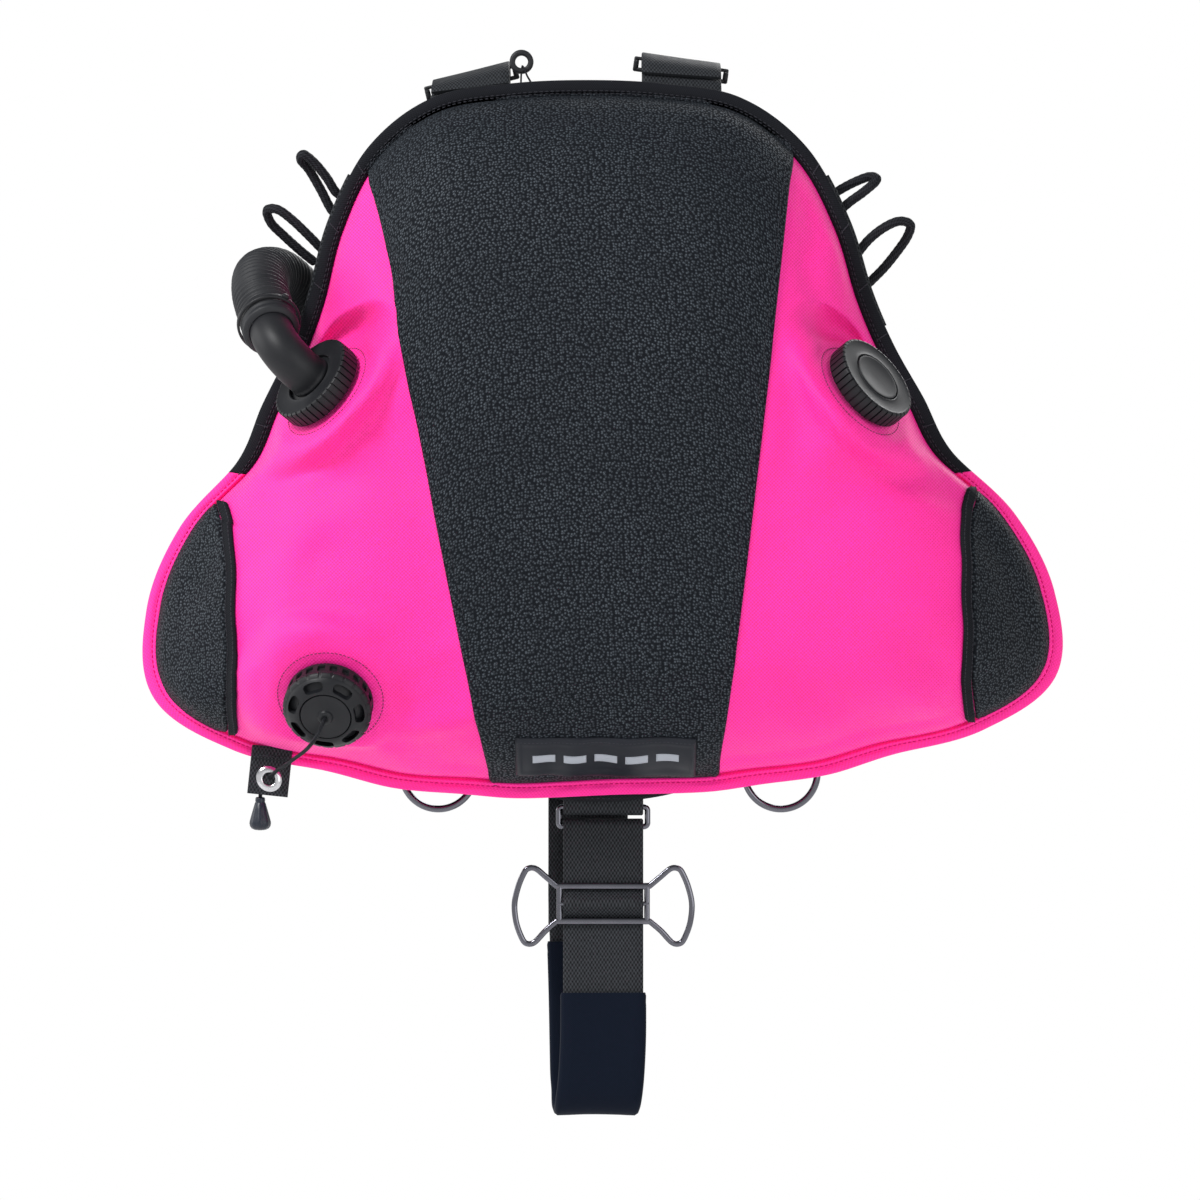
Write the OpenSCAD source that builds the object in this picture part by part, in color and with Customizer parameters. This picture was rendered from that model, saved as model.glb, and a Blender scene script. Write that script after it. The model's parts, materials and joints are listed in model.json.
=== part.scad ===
// Sidemount buoyancy compensator vest: an air wing on a webbing harness, hung as it is worn.
// +Z is up, +Y points at the diver, and the origin is the middle of the back pad's face.

/* [Wing] */
// Depth of the wing's outer face at its middle
bulge = 80; // [60:1:90]
// How far the wing tips sweep towards the diver
tip_sweep = 40; // [20:1:50]
// Degrees that the wing's foot hangs turned
tilt = 2; // [0:0.5:3]
// Sideways lean of the wing as it hangs, per millimetre of height
lean = 0.024; // [0:0.004:0.04]
// Width of the sewn edge all round the wing
rim_w = 12; // [9:1:14]
// Thickness of the coated cloth
cloth = 1.5; // [1:0.1:2]

/* [Ports] */
// Radius of the knurled screw rings
ring_r = 29; // [27:0.5:31]
// Radius of the dump valve's cap
cap_r = 27; // [26:0.5:28]
// Number of grip teeth round a screw ring
ring_teeth = 40; // [30:1:48]
// Lift of the dump valve's poppet
poppet_lift = 4; // [2:0.5:4]

/* [Hose and inflator] */
// Outer radius of the corrugated hose
hose_r = 18; // [16:0.5:19]
// Radius of the low-pressure nipple
nipple_r = 4.45; // [4:0.05:5]
// Outer radius of the elbow's tube
elbow_r = 13.5; // [12.5:0.5:14]

/* [Harness] */
// Width of the main webbing
web_w = 50; // [45:1:52]
// Thickness of the main webbing
web_t = 2.5; // [2:0.1:3]
// Height of the back pad
pad_h = 250; // [200:5:256]
// Width of the back pad
pad_w = 170; // [140:5:180]
// Radius of the wire in the D-rings
wire_r = 2.2; // [1.8:0.1:2.4]

/* [Bungee] */
// Radius of the shock cord
bungee_r = 3; // [2.5:0.25:3.5]
// Radius of the dump valve's pull cord
cord_r = 1.25; // [1:0.05:1.4]

/* [Hidden] */

pink = [1.0, 0.12, 0.55];
black = [0.09, 0.1, 0.12];
panel_black = [0.13, 0.14, 0.16];
steel = [0.75, 0.76, 0.8];

// ---------- curves ----------
function unit(v) = v / norm(v);
function mix(a, b, t) = a + (b - a) * t;
function clamp01(t) = min(1, max(0, t));
function ease(t) = let (c = clamp01(t)) c * c * (3 - 2 * c);
function spline_at(a, b, c, d, t) =
    0.5 * (2 * b + (c - a) * t + (2 * a - 5 * b + 4 * c - d) * t * t + (3 * b - a - 3 * c + d) * t * t * t);
// A smooth line through pts, with steps points to each stretch
function smooth(pts, steps) = [
    for (i = [0:len(pts) - 2], k = [0:steps - 1])
        spline_at(pts[max(0, i - 1)], pts[i], pts[i + 1], pts[min(len(pts) - 1, i + 2)], k / steps),
    pts[len(pts) - 1]
];
function reversed(list) = [for (i = [len(list) - 1:-1:0]) list[i]];
function heading(path, i) = unit(path[min(len(path) - 1, i + 1)] - path[max(0, i - 1)]);
function across(v, t) = unit(v - (v * t) * t);
// Side vectors along a path, each turned as little as possible from the one before
function carried(path, side, i = 0) =
    i == len(path) ? [] : let (s = across(side, heading(path, i))) concat([s], carried(path, s, i + 1));

// ---------- solids from sections ----------
// A closed solid through a list of rings that all have the same even number of points. From ring turn_row or
// point turn_col on, its quads split the other way, so that both faces of a thin sheet split alike
module loft(rings, turn_row = 1e6, turn_col = 1e6) {
    k = len(rings[0]);
    last = (len(rings) - 1) * k;
    wall = [
        for (i = [0:len(rings) - 2], j = [0:k - 1])
            let (a = i * k + j, b = i * k + (j + 1) % k)
                each i >= turn_row || j >= turn_col ? [[a + k, b, a], [a + k, b + k, b]]
                                                    : [[b + k, b, a], [a + k, b + k, a]]
    ];
    cap = [for (j = [0:k / 2 - 2]) each [[j + 1, k - 2 - j, j], [k - 2 - j, k - 1 - j, j]]];
    far_cap = [for (f = cap) [for (v = [2, 1, 0]) f[v] + last]];
    polyhedron([for (ring = rings) each ring], concat(wall, cap, far_cap), convexity = 6);
}

// A round tube along a path
module tube(path, r, sides = 10) {
    sideways = carried(path, [0.31, 0.17, 0.93]);
    loft([
        for (i = [0:len(path) - 1])
            let (u = sideways[i], v = cross(heading(path, i), u))
                [for (a = [0:sides - 1]) path[i] + r * (cos(360 * a / sides) * u + sin(360 * a / sides) * v)]
    ]);
}

// A flat band along a path; wide gives its width direction at each of its points
module band(path, wide, w, t) {
    loft([
        for (i = [0:len(path) - 1])
            let (u = across(wide[i], heading(path, i)) * w / 2, v = cross(heading(path, i), unit(u)) * t / 2)
                [path[i] - u - v, path[i] + u - v, path[i] + u + v, path[i] - u + v]
    ]);
}

// A sheet between two grids of points
module sheet(near, far) {
    loft([for (i = [0:len(near) - 1]) concat(near[i], reversed(far[i]))], turn_col = len(near[0]));
}

// ---------- the wing's shape ----------
wing_z = -50;
rear_y = -16;
// Outline radius about the wing's middle, every 10 degrees from straight down to straight up
outline = [171, 174, 182, 193, 212, 234, 273, 303, 291, 263, 228, 220, 218, 227, 249, 271, 281, 277, 275];
outline_step = 10;
lean_from = -130;
flat_half = 140;
sweep_run = 150;
rear_puff = 12;

function folded(a) = let (b = (a % 360 + 450) % 360) b > 180 ? 360 - b : b;
function outline_r(a) =
    let (u = folded(a - tilt * (1 - sin(a)) / 2) / outline_step, i = min(17, floor(u)), n = len(outline))
        spline_at(outline[abs(i - 1)], outline[i], outline[i + 1],
                  outline[i + 2 > n - 1 ? 2 * (n - 1) - i - 2 : i + 2], u - i);
function rim_point(a, inset) =
    let (r = outline_r(a) - inset, z = wing_z + r * sin(a)) [r * cos(a) - lean * (z - lean_from), z];
function edge_y(x) = rear_y + tip_sweep * pow(max(0, abs(x) - flat_half) / sweep_run, 2);
// Share of the way from the wing's middle to its sewn edge
function share(x, z) =
    let (dx = x + lean * (z - lean_from), dz = z - wing_z)
        min(1, norm([dx, dz]) / (outline_r(atan2(dz, dx)) - rim_w));
function puff(s) = pow(max(0, 1 - pow(s, 4)), 0.6);
function plain_front(x, z) = edge_y(x) - bulge * puff(share(x, z));
function rear(x, z) = edge_y(x) + cloth + 0.3 + rear_puff * puff(share(x, z)) * ease((abs(x) - 155) / 50);

// ---------- ports: place [x, z], outward direction, roll direction ----------
port_flat_r = 41;
port_blend_r = 68;
elbow_port = [[-168, 29], unit([-0.663, -0.5, 0.557]), [-0.194, 0.834, 0.517]];
blank_port = [[160, 29], unit([0.663, -0.5, 0.557]), [0, 0.8, 0.6]];
dump_port = [[-165, -159], unit([-0.1, -0.84, -0.53]), [1, 0, 0]];
ports = [elbow_port, blank_port, dump_port];

function port_point(p) = [p[0].x, plain_front(p[0].x, p[0].y), p[0].y];
// y of a port's base plane at [x, z]
function base_plane(p, x, z) =
    let (c = port_point(p), n = p[1]) c.y - (n.x * (x - c.x) + n.z * (z - c.z)) / n.y;
function settled(y, x, z, i = 0) =
    i == len(ports) ? y : let (
        p = ports[i],
        d = norm([x - p[0].x, base_plane(p, x, z) - port_point(p).y, z - p[0].y]),
        w = 1 - ease((d - port_flat_r) / (port_blend_r - port_flat_r)),
        edge = ease((1 - share(x, z)) / 0.06)
    ) settled(mix(y, base_plane(p, x, z), w * edge), x, z, i + 1);
function front(x, z) = settled(plain_front(x, z), x, z);

module at_port(p) {
    z = p[1];
    x = across(p[2], z);
    y = cross(z, x);
    c = port_point(p);
    multmatrix([[x.x, y.x, z.x, c.x], [x.y, y.y, z.y, c.y], [x.z, y.z, z.z, c.z], [0, 0, 0, 1]]) children();
}

// ---------- wing cloth ----------
spokes = 96;
shares = [0.06, 0.25, 0.42, 0.55, 0.64, 0.72, 0.79, 0.85, 0.9, 0.945, 0.975, 1];
function loop_at(s, n) = [
    for (k = [0:n - 1])
        let (a = 360 * k / n, r = (outline_r(a) - rim_w) * s, z = wing_z + r * sin(a))
            [r * cos(a) - lean * (z - lean_from), z]
];
function rows(list, n = spokes) = [for (s = list) loop_at(s, n)];

// A closed skin: near side from the middle out, far side back in
module round_skin(places, near, far) {
    n = len(places) - 1;
    m = len(places[0]) - 1;
    loft(reversed(concat(
        [for (i = [0:n]) [for (j = [0:m]) [places[i][j].x, near[i][j], places[i][j].y]]],
        [for (i = [n:-1:0]) [for (j = [0:m]) [places[i][j].x, far[i][j], places[i][j].y]]]
    )), turn_row = n + 1);
}

port_hole_r = 24;
module wing_cover() {
    places = rows(shares);
    near = [for (row = places) [for (p = row) front(p.x, p.y)]];
    far = [for (row = near) [for (y = row) y + cloth]];
    color(pink) difference() {
        round_skin(places, near, far);
        for (p = ports) at_port(p) translate([0, 0, -9]) cylinder(r = port_hole_r, h = 18, $fn = 48);
    }
}

bladder_gap = 15;
film = 0.8;
// A bag between the cover and the back panel, gap further in than its outer face
module bag(shares, gap) {
    places = rows(shares, 48);
    near = [for (row = places) [for (p = row) min(front(p.x, p.y) + bladder_gap, rear(p.x, p.y) - 8) + gap]];
    far = [for (row = places) [for (p = row) rear(p.x, p.y) - 4 - gap]];
    round_skin(places, near, far);
}
module air_bladder() {
    color([0.2, 0.2, 0.25]) difference() {
        bag([0.06, 0.3, 0.5, 0.65, 0.77, 0.86, 0.92], 0);
        bag([0.05, 0.3, 0.5, 0.65, 0.77, 0.86, 0.915], film);
        for (p = ports) at_port(p) translate([0, 0, -24]) cylinder(r = collar_bore_r, h = 22, $fn = 48);
    }
}

module wing_back_panel() {
    places = rows([0.06, 0.3, 0.5, 0.65, 0.77, 0.86, 0.93, 0.97, 1]);
    near = [for (row = places) [for (p = row) rear(p.x, p.y)]];
    far = [for (row = near) [for (y = row) y + cloth]];
    color(black) round_skin(places, near, far);
}

// The cover's outward direction at [x, z], taken over a reach of d, and the point that lies off above it
function outward(x, z, d) = unit([
    (front(x + d, z) - front(x - d, z)) / 2 / d, -1, (front(x, z + d) - front(x, z - d)) / 2 / d
]);
function above(p, off, d) = [p.x, front(p.x, p.y), p.y] + off * outward(p.x, p.y, d);

// A panel of cloth laid on the cover, lift away from it
module overlay(grid, lift, t, d = 1) {
    sheet([for (row = grid) [for (p = row) above(p, lift + t, d)]],
          [for (row = grid) [for (p = row) above(p, lift, d)]]);
}

// A grid between two edges, each a list of [x, z] places, finer towards both
function between(edge_a, edge_b, n) = [
    for (i = [0:n]) [for (j = [0:len(edge_a) - 1]) mix(edge_a[j], edge_b[j], (1 - cos(180 * i / n)) / 2)]
];
function rim_run(a, b, n, inset) = [for (k = [0:n]) rim_point(mix(a, b, k / n), inset)];

panel_top = [122, 61];
panel_foot = [247, 294];
module centre_panel() {
    n = 16;
    grid = between(rim_run(panel_foot[0], panel_foot[1], n, rim_w + 1.6),
                   rim_run(panel_top[0], panel_top[1], n, rim_w + 1.6), 24);
    color(panel_black) overlay(grid, 0.8, 1.4);
}

// Inner edge of a tip panel, from its foot to its top, as [x, z] places
tip_seam_foot = 233;
tip_seam_mid = 232;
tip_seam_top = 236;
// Heights of the two seams' ends, left and right, and the rim angles that they meet
tip_z = [[-174, -46], [-166, -38]];
tip_angles = [[-28, 0.9], [-26.5, 2.7]];
function tip_seam(side, n) = [
    for (k = [0:n])
        let (t = k / n, ends = tip_z[side > 0 ? 1 : 0], z = mix(ends[0], ends[1], t))
            [side * (mix(tip_seam_foot, tip_seam_top, t) + (tip_seam_mid - 234) * 4 * t * (1 - t))
             - lean * (z - lean_from), z]
];
function tip_rim(side, n) = [
    for (k = [0:n])
        let (ends = tip_angles[side > 0 ? 1 : 0], a = mix(ends[0], ends[1], k / n))
            rim_point(side > 0 ? a : 180 - a, rim_w + 3)
];
module tip_panel(side) {
    grid = side > 0 ? between(tip_seam(side, 12), tip_rim(side, 12), 6)
                    : between(tip_rim(side, 12), tip_seam(side, 12), 6);
    color(panel_black) overlay([for (j = [0:12]) [for (i = [0:6]) grid[i][j]]], 1, 1.4, 5);
}

tip_band_w = 6;
module tip_bindings() {
    color(black) for (side = [-1, 1]) {
        line = tip_seam(side, 24);
        inset = side < 0 ? 0.8 : -0.8 - tip_band_w;
        overlay([
            for (p = line) [p + [inset, 0], p + [inset + tip_band_w, 0]]
        ], 1, 1.8);
    }
}

rim_half_t = 3;
rim_back = 0.9;
// The rounded band that closes the wing's edge between two angles
module rim(from, to, n) {
    loft([
        for (k = [0:n])
            let (a = mix(from, to, k / n)) [
                for (q = [0:7])
                    let (p = rim_point(a, rim_w / 2 - (rim_w / 2 - 0.4) * cos(45 * q + 22.5) / cos(22.5)))
                        [p.x, edge_y(p.x) + rim_back - rim_half_t * sin(45 * q + 22.5), p.y]
            ]
    ]);
}
binding_from = 8;
module edge_binding() { color(black) rim(180 - binding_from, binding_from, 70); }
module hem_binding() { color(pink) rim(binding_from - 0.4, -180 - binding_from + 0.4, 90); }

patch_size = [111, 23];
patch_middle = [3.5, -195];
module name_patch() {
    grid = [
        for (j = [0:6]) [for (i = [0:10])
            patch_middle + [(i / 10 - 0.5) * patch_size.x, (j / 6 - 0.5) * patch_size.y]]
    ];
    color(black) overlay(grid, 3, 2);
}

// ---------- port fittings; w is the height above the cover along the port's axis ----------
collar_r = 22;
collar_bore_r = 14;
collar_top = 9;
flange_r = 34;
module port_flange(p) {
    color(black) at_port(p) difference() {
        union() {
            translate([0, 0, -6.4]) cylinder(r = flange_r, h = 2.4, $fn = 64);
            translate([0, 0, -6.4]) cylinder(r = collar_r, h = 6.4 + collar_top, $fn = 64);
        }
        translate([0, 0, -7]) cylinder(r = collar_bore_r, h = 20, $fn = 64);
    }
}

gasket_t = 1.8;
module port_gaskets() {
    color([0.2, 0.2, 0.2]) for (p = [elbow_port, blank_port]) at_port(p)
        translate([0, 0, collar_top + 0.2]) difference() {
            cylinder(r = 20, h = gasket_t, $fn = 48);
            translate([0, 0, -1]) cylinder(r = 14.5, h = 4, $fn = 48);
        }
}

seat_w = collar_top + 0.4 + gasket_t;
ring_foot = 2.5;
ring_top = 15.5;
ring_hole_r = 16.6;
module screw_ring(p) {
    color(black) at_port(p) translate([0, 0, ring_foot]) difference() {
        linear_extrude(ring_top - ring_foot) difference() {
            circle(r = ring_r, $fn = 96);
            for (k = [0:ring_teeth - 1]) rotate(360 * k / ring_teeth)
                translate([ring_r - 0.9, -0.5]) square([2, 1]);
        }
        translate([0, 0, -1]) cylinder(r = collar_r + 0.5, h = 12.4, $fn = 64);
        cylinder(r = ring_hole_r, h = 20, $fn = 64);
    }
}

bend_r = 22;
bend_from = 22;
elbow_bore = 10.5;
spigot_r = 12.5;
spigot_l = 20;
module elbow_run(r, spigot) {
    translate([0, 0, seat_w]) cylinder(r = r, h = bend_from - seat_w, $fn = 48);
    translate([bend_r, 0, bend_from]) rotate([90, 0, 180]) rotate_extrude(angle = 90, $fn = 64)
        translate([bend_r, 0]) circle(r = r, $fn = 48);
    translate([bend_r, 0, bend_from + bend_r]) rotate([0, 90, 0])
        cylinder(r = spigot, h = spigot_l, $fn = 48);
}
module elbow() {
    color(black) at_port(elbow_port) {
        difference() {
            union() {
                elbow_run(elbow_r, spigot_r);
                translate([0, 0, seat_w]) cylinder(r = 20, h = 2.2, $fn = 48);
            }
            translate([0, 0, seat_w - 1]) cylinder(r = elbow_bore, h = bend_from - seat_w + 1, $fn = 48);
            translate([bend_r, 0, bend_from]) rotate([90, 0, 180]) rotate_extrude(angle = 90, $fn = 64)
                translate([bend_r, 0]) circle(r = elbow_bore, $fn = 48);
            translate([bend_r, 0, bend_from + bend_r]) rotate([0, 90, 0])
                cylinder(r = elbow_bore, h = spigot_l + 1, $fn = 48);
        }
    }
}

module blank_plug() {
    color(black) at_port(blank_port) {
        translate([0, 0, seat_w]) cylinder(r = 20, h = 2.2, $fn = 64);
        translate([0, 0, seat_w]) cylinder(r = ring_hole_r - 0.6, h = ring_top - seat_w, $fn = 64);
    }
}

// ---------- dump valve ----------
cap_top = 22;
hub_r = 15.6;
window_count = 6;
recess_count = 22;
module dump_cap() {
    color(black) at_port(dump_port) difference() {
        rotate_extrude($fn = 96) polygon([
            [collar_r + 0.5, ring_foot], [cap_r, ring_foot], [cap_r, 13], [cap_r - 1.6, 16.6],
            [19, 21.4], [hub_r + 0.3, cap_top], [hub_r + 0.3, cap_top - 3], [18, 18.4],
            [cap_r - 4, 14.6], [collar_r + 0.5, 12]
        ]);
        for (k = [0:window_count - 1]) rotate(60 * k - 20) translate([0, 0, 10])
            rotate_extrude(angle = 40, $fn = 96) translate([18.6, 0]) square([5, 14]);
        for (k = [0:recess_count - 1]) rotate(360 * k / recess_count)
            translate([cap_r - 1, -2, ring_foot + 3.5]) cube([3, 4, 6]);
    }
}

cord_hole_r = 1.7;
module dump_hub() {
    color(black) at_port(dump_port) difference() {
        union() {
            translate([0, 0, cap_top - 2.2]) cylinder(r = hub_r, h = 1.8, $fn = 64);
            translate([0, 0, cap_top - 0.4]) cylinder(r = 4.5, h = 2.4, $fn = 32);
        }
        translate([0, 0, cap_top - 4]) cylinder(r = cord_hole_r, h = 10, $fn = 24);
    }
}

module dump_poppet() {
    color([0.25, 0.25, 0.28]) at_port(dump_port) {
        translate([0, 0, collar_top + 0.3]) cylinder(r = 17, h = 1.6, $fn = 48);
        translate([0, 0, collar_top + 0.3]) cylinder(r = 3, h = 4.4, $fn = 24);
    }
}

spring_turns = 3;
spring_r = 8;
spring_wire = 0.5;
spring_h = 3.6;
module dump_spring() {
    steps = spring_turns * 12;
    path = [
        for (k = [0:steps])
            [spring_r * cos(30 * k), spring_r * sin(30 * k), collar_top + 2.6 + spring_h * k / steps]
    ];
    color(steel) at_port(dump_port) tube(path, spring_wire, 6);
}

// Route of the pull cord: out of the hub, down to the grommet and into the knob
cord_route = [
    [-166.8, -90.9, -168.6], [-167.4, -95.8, -171.8], [-168.6, -99, -174.6], [-171.5, -97.5, -180.6],
    [-176.5, -88, -187.6], [-181.5, -76, -192.3], [-187.5, -62, -196.5], [-194, -46, -201],
    [-200.3, -30, -205], [-204.3, -19, -208.2], [-206, -13.4, -209.8], [-207.4, -10.4, -211.4],
    [-209.5, -9.4, -214.5], [-211.4, -9.4, -218.5], [-211.9, -9.4, -223], [-211.9, -9.4, -231]
];
module pull_cord() { color(black) tube(smooth(cord_route, 3), cord_r, 8); }

tab_size = [25.4, 31];
tab_middle = [-205.6, -13.3, -205.6];
tab_t = 2;
tab_tilt = 6;
grommet_drop = 5;
module at_tab() { translate(tab_middle) rotate([0, tab_tilt, 0]) children(); }
module cord_tab() {
    color(black) at_tab() difference() {
        cube([tab_size.x, tab_t, tab_size.y], center = true);
        translate([0, 0, -grommet_drop]) rotate([90, 0, 0])
            cylinder(r = 4.6, h = 10, center = true, $fn = 32);
    }
}
module cord_grommet() {
    color(steel) at_tab() translate([0, 0, -grommet_drop]) rotate([90, 0, 0]) difference() {
        union() {
            cylinder(r = 4.4, h = 3.6, center = true, $fn = 48);
            for (s = [-1, 1]) translate([0, 0, s * (tab_t / 2 + 0.6)])
                cylinder(r = 8, h = 0.8, center = true, $fn = 48);
        }
        cylinder(r = 3.7, h = 8, center = true, $fn = 48);
    }
}

knob_top = [-211.9, -9.4, -222];
module pull_knob() {
    color([0.12, 0.14, 0.18]) translate(knob_top) difference() {
        rotate_extrude($fn = 48) polygon([
            [0, 0], [2.4, 0], [3, -1.2], [3.4, -3.4], [6.2, -13.5], [6.8, -16], [6.4, -18.2], [4.6, -20],
            [0, -20.8]
        ]);
        translate([0, 0, -12]) cylinder(r = cord_hole_r, h = 20, $fn = 24);
    }
}

// ---------- hose and inflator ----------
function port_world(p, v) =
    let (z = p[1], x = across(p[2], z), y = cross(z, x)) port_point(p) + v.x * x + v.y * y + v.z * z;
hose_start = port_world(elbow_port, [bend_r + 1, 0, bend_from + bend_r]);
hose_lead = port_world(elbow_port, [bend_r + 22, 0, bend_from + bend_r]);
inflator_at = [-172, 60, -62];
// Route of the hose after its first cuff, over the wing's edge and down behind it
hose_route = [
    [-211, -22, 92], [-211, 4, 103], [-202, 30, 104], [-190, 47, 92], [-180, 56, 68], [-175, 59, 38],
    [-172, 60, 8], [-172, 60, -18], [-172, 60, -42]
];
hose_path = smooth(concat([hose_start, hose_lead], hose_route), 3);
module inflator_hose() { color(black) tube(hose_path, hose_r, 12); }

module band_at(c, dir, r) {
    z = unit(dir);
    x = across([0.3, 0.2, 0.9], z);
    y = cross(z, x);
    multmatrix([[x.x, y.x, z.x, c.x], [x.y, y.y, z.y, c.y], [x.z, y.z, z.z, c.z], [0, 0, 0, 1]])
        difference() {
            cylinder(r = r + 1.6, h = 4, center = true, $fn = 48);
            cylinder(r = r + 0.3, h = 6, center = true, $fn = 48);
        }
}
module hose_bands() {
    color(black) {
        band_at(port_world(elbow_port, [bend_r + 13, 0, bend_from + bend_r]), hose_lead - hose_start, hose_r);
        band_at([-172, 60, -34], [0, 0, -1], hose_r);
    }
}

body_r = 14;
valve_z = -96;
mouth_z = -138;
nipple_arm = 44;
module inflator_body() {
    color(black) translate([inflator_at.x, inflator_at.y, 0]) difference() {
        union() {
            translate([0, 0, -62]) cylinder(r = spigot_r, h = 18, $fn = 48);
            translate([0, 0, -152]) cylinder(r = body_r, h = 108, $fn = 48);
            translate([0, 0, valve_z]) rotate([-90, 0, 0]) cylinder(r = 11, h = 24, $fn = 48);
            translate([0, 0, mouth_z]) rotate([-90, 0, 0]) cylinder(r = 9, h = 26, $fn = 48);
            translate([0, 0, valve_z]) rotate([0, -90, 0]) cylinder(r = 7, h = nipple_arm + 5, $fn = 48);
        }
        translate([0, 14, valve_z]) rotate([-90, 0, 0]) cylinder(r = 8.4, h = 20, $fn = 48);
        translate([0, 0, mouth_z]) rotate([-90, 0, 0]) cylinder(r = 6, h = 40, $fn = 48);
        translate([0, 0, -160]) cylinder(r = 10.4, h = 14, $fn = 48);
    }
}
module inflate_button() {
    color([0.5, 0.05, 0.1]) translate([inflator_at.x, inflator_at.y + 18.5, valve_z]) rotate([-90, 0, 0])
        cylinder(r = 8, h = 9, $fn = 48);
}
module deflate_button() {
    color([0.2, 0.2, 0.22]) translate([inflator_at.x, inflator_at.y, -157]) cylinder(r = 10, h = 6, $fn = 48);
}
module mouthpiece() {
    color([0.15, 0.15, 0.15]) translate([inflator_at.x, inflator_at.y + 26.3, mouth_z]) rotate([-90, 0, 0])
        difference() {
            union() {
                cylinder(r = 9.4, h = 20, $fn = 48);
                translate([0, 0, 14]) cylinder(r = 14, h = 3, $fn = 48);
            }
            translate([0, 0, -1]) cylinder(r = 6, h = 30, $fn = 48);
        }
}
nipple_foot = valve_z + 7.2;
module inflator_nipple() {
    color(steel) translate([inflator_at.x - nipple_arm, inflator_at.y, nipple_foot]) {
        cylinder(r = 6.4, h = 3, $fn = 6);
        translate([0, 0, 3]) cylinder(r = nipple_r, h = 12, $fn = 48);
        translate([0, 0, 15]) cylinder(r = 3.3, h = 2.5, $fn = 48);
        translate([0, 0, 17.5]) cylinder(r = nipple_r - 0.3, h = 4, $fn = 48);
    }
}

// ---------- bungee loops ----------
upper_left_loop = [
    [-156, 4, 157], [-164, 3, 155], [-171, 0, 165], [-178, -3, 173.5], [-185, -5, 179], [-187, -1, 176],
    [-182, 5, 170], [-175, 9, 158], [-168, 11, 145], [-160, 12, 139]
];
lower_left_loop = [
    [-162, 2, 111], [-172, 1, 118.5], [-182, -2, 128.5], [-192, -4, 138], [-201, -5, 144.5],
    [-208, -1, 144.5], [-206, 5, 137], [-198, 9, 129], [-188, 12, 120], [-178, 14, 112]
];
upper_right_loop = [
    [139, 12, 150], [148, 11, 156.5], [159, 9, 162.5], [169, 6, 166], [173, 1, 163.5], [165, -3, 156],
    [156, -2, 149.5], [149, 1, 143.5], [142, 4, 138]
];
lower_right_loop = [
    [152, 2, 108], [159.7, 1, 116], [168, -1, 126], [177.5, -3, 133.5], [187, -3, 137.5], [194, 0, 135.5],
    [192.5, 5, 128.5], [186.5, 9, 119.5], [178, 12, 109], [169, 14, 100], [161, 15, 92]
];
module left_bungee_loops() {
    color(black) for (route = [upper_left_loop, lower_left_loop]) tube(smooth(route, 3), bungee_r, 8);
}
module right_bungee_loops() {
    color(black) for (route = [upper_right_loop, lower_right_loop]) tube(smooth(route, 3), bungee_r, 8);
}

sleeve_w = 14;
// Webbing tunnels behind the wing's edge, which the shock cord runs in
module bungee_sleeves() {
    color(black) for (side = [-1, 1]) {
        path = [
            for (k = [0:8])
                let (a = mix(34, 56, k / 8), p = rim_point(side > 0 ? a : 180 - a, 6))
                    [p.x, edge_y(p.x) + 8, p.y]
        ];
        band(path, [for (q = path) [1, 0, side * 0.35]], sleeve_w, 3);
    }
}

// ---------- harness ----------
plate_y = -11.9;
plate_t = 4;
module upright(y, t) { translate([0, y + t, 0]) rotate([90, 0, 0]) linear_extrude(t) children(); }
module harness_panel() {
    color(black) upright(plate_y, plate_t) polygon([
        [-105, 188], [-112, 182], [-116, 60], [-128, -40], [-130, -60], [-130, -184], [-124, -190],
        [124, -190], [130, -184], [130, -60], [128, -40], [116, 60], [106, 182], [98, 188]
    ]);
}

pad_y = -7.7;
pad_round = 24;
module back_pad() {
    color(black) upright(pad_y, -pad_y) difference() {
        square([pad_w, pad_h], center = true);
        for (a = [-1, 1], b = [-1, 1]) translate([a * (pad_w / 2 - pad_round), b * (pad_h / 2 - pad_round)])
            difference() {
                translate([a * pad_round / 2 + a * 0.5, b * pad_round / 2 + b * 0.5])
                    square(pad_round + 1, center = true);
                circle(r = pad_round, $fn = 64);
            }
    }
}

butt_foot = -225;
butt_half = 75;
module butt_pad() {
    color(black) upright(plate_y, plate_t) polygon(concat(
        [[-butt_half, -191], [butt_half, -191]],
        [for (k = [0:16]) let (a = -90 * k / 16) [butt_half * cos(a), -200 + (-200 - butt_foot) * sin(a)]],
        [for (k = [15:-1:0]) let (a = -90 * k / 16) [-butt_half * cos(a), -200 + (-200 - butt_foot) * sin(a)]]
    ));
}

strap_y = -6.3;
strap_side = [-1, 1];
strap_top_x = [-81, 51];
strap_foot_x = [-112, 112];
// Height of each strap's top below the other's
strap_low = [8, 0];
strap_tilt = [14, -8];
// Side view of a shoulder strap as [y, z, share of the way to its foot]
strap_route = [
    [-6.3, 132, 0], [-6.3, 170, 0], [-6, 205, 0], [-3, 221, 0], [7, 231, 0], [24, 235.4, 0], [46, 235, 0.02],
    [80, 223, 0.1], [115, 194, 0.28], [138, 146, 0.5], [147, 92, 0.5], [145, 30, 0.5], [128, -25, 0.75],
    [92, -65, 0.95], [44, -86, 1], [10, -92, 1], [-5, -99, 1], [-6.3, -108, 1], [-6.3, -121, 1]
];
function strap_sag(i, z) = strap_low[i] * ease((z - 150) / 70);
function strap_points(i) = [
    for (q = smooth(strap_route, 3))
        [mix(strap_top_x[i], strap_foot_x[i], ease(q.z)), q.x, q.y - strap_sag(i, q.y)]
];
function strap_wide(i) = [
    for (q = smooth(strap_route, 3)) let (a = strap_tilt[i] * (1 - ease(2 * q.z))) [cos(a), 0, sin(a)]
];
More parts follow.
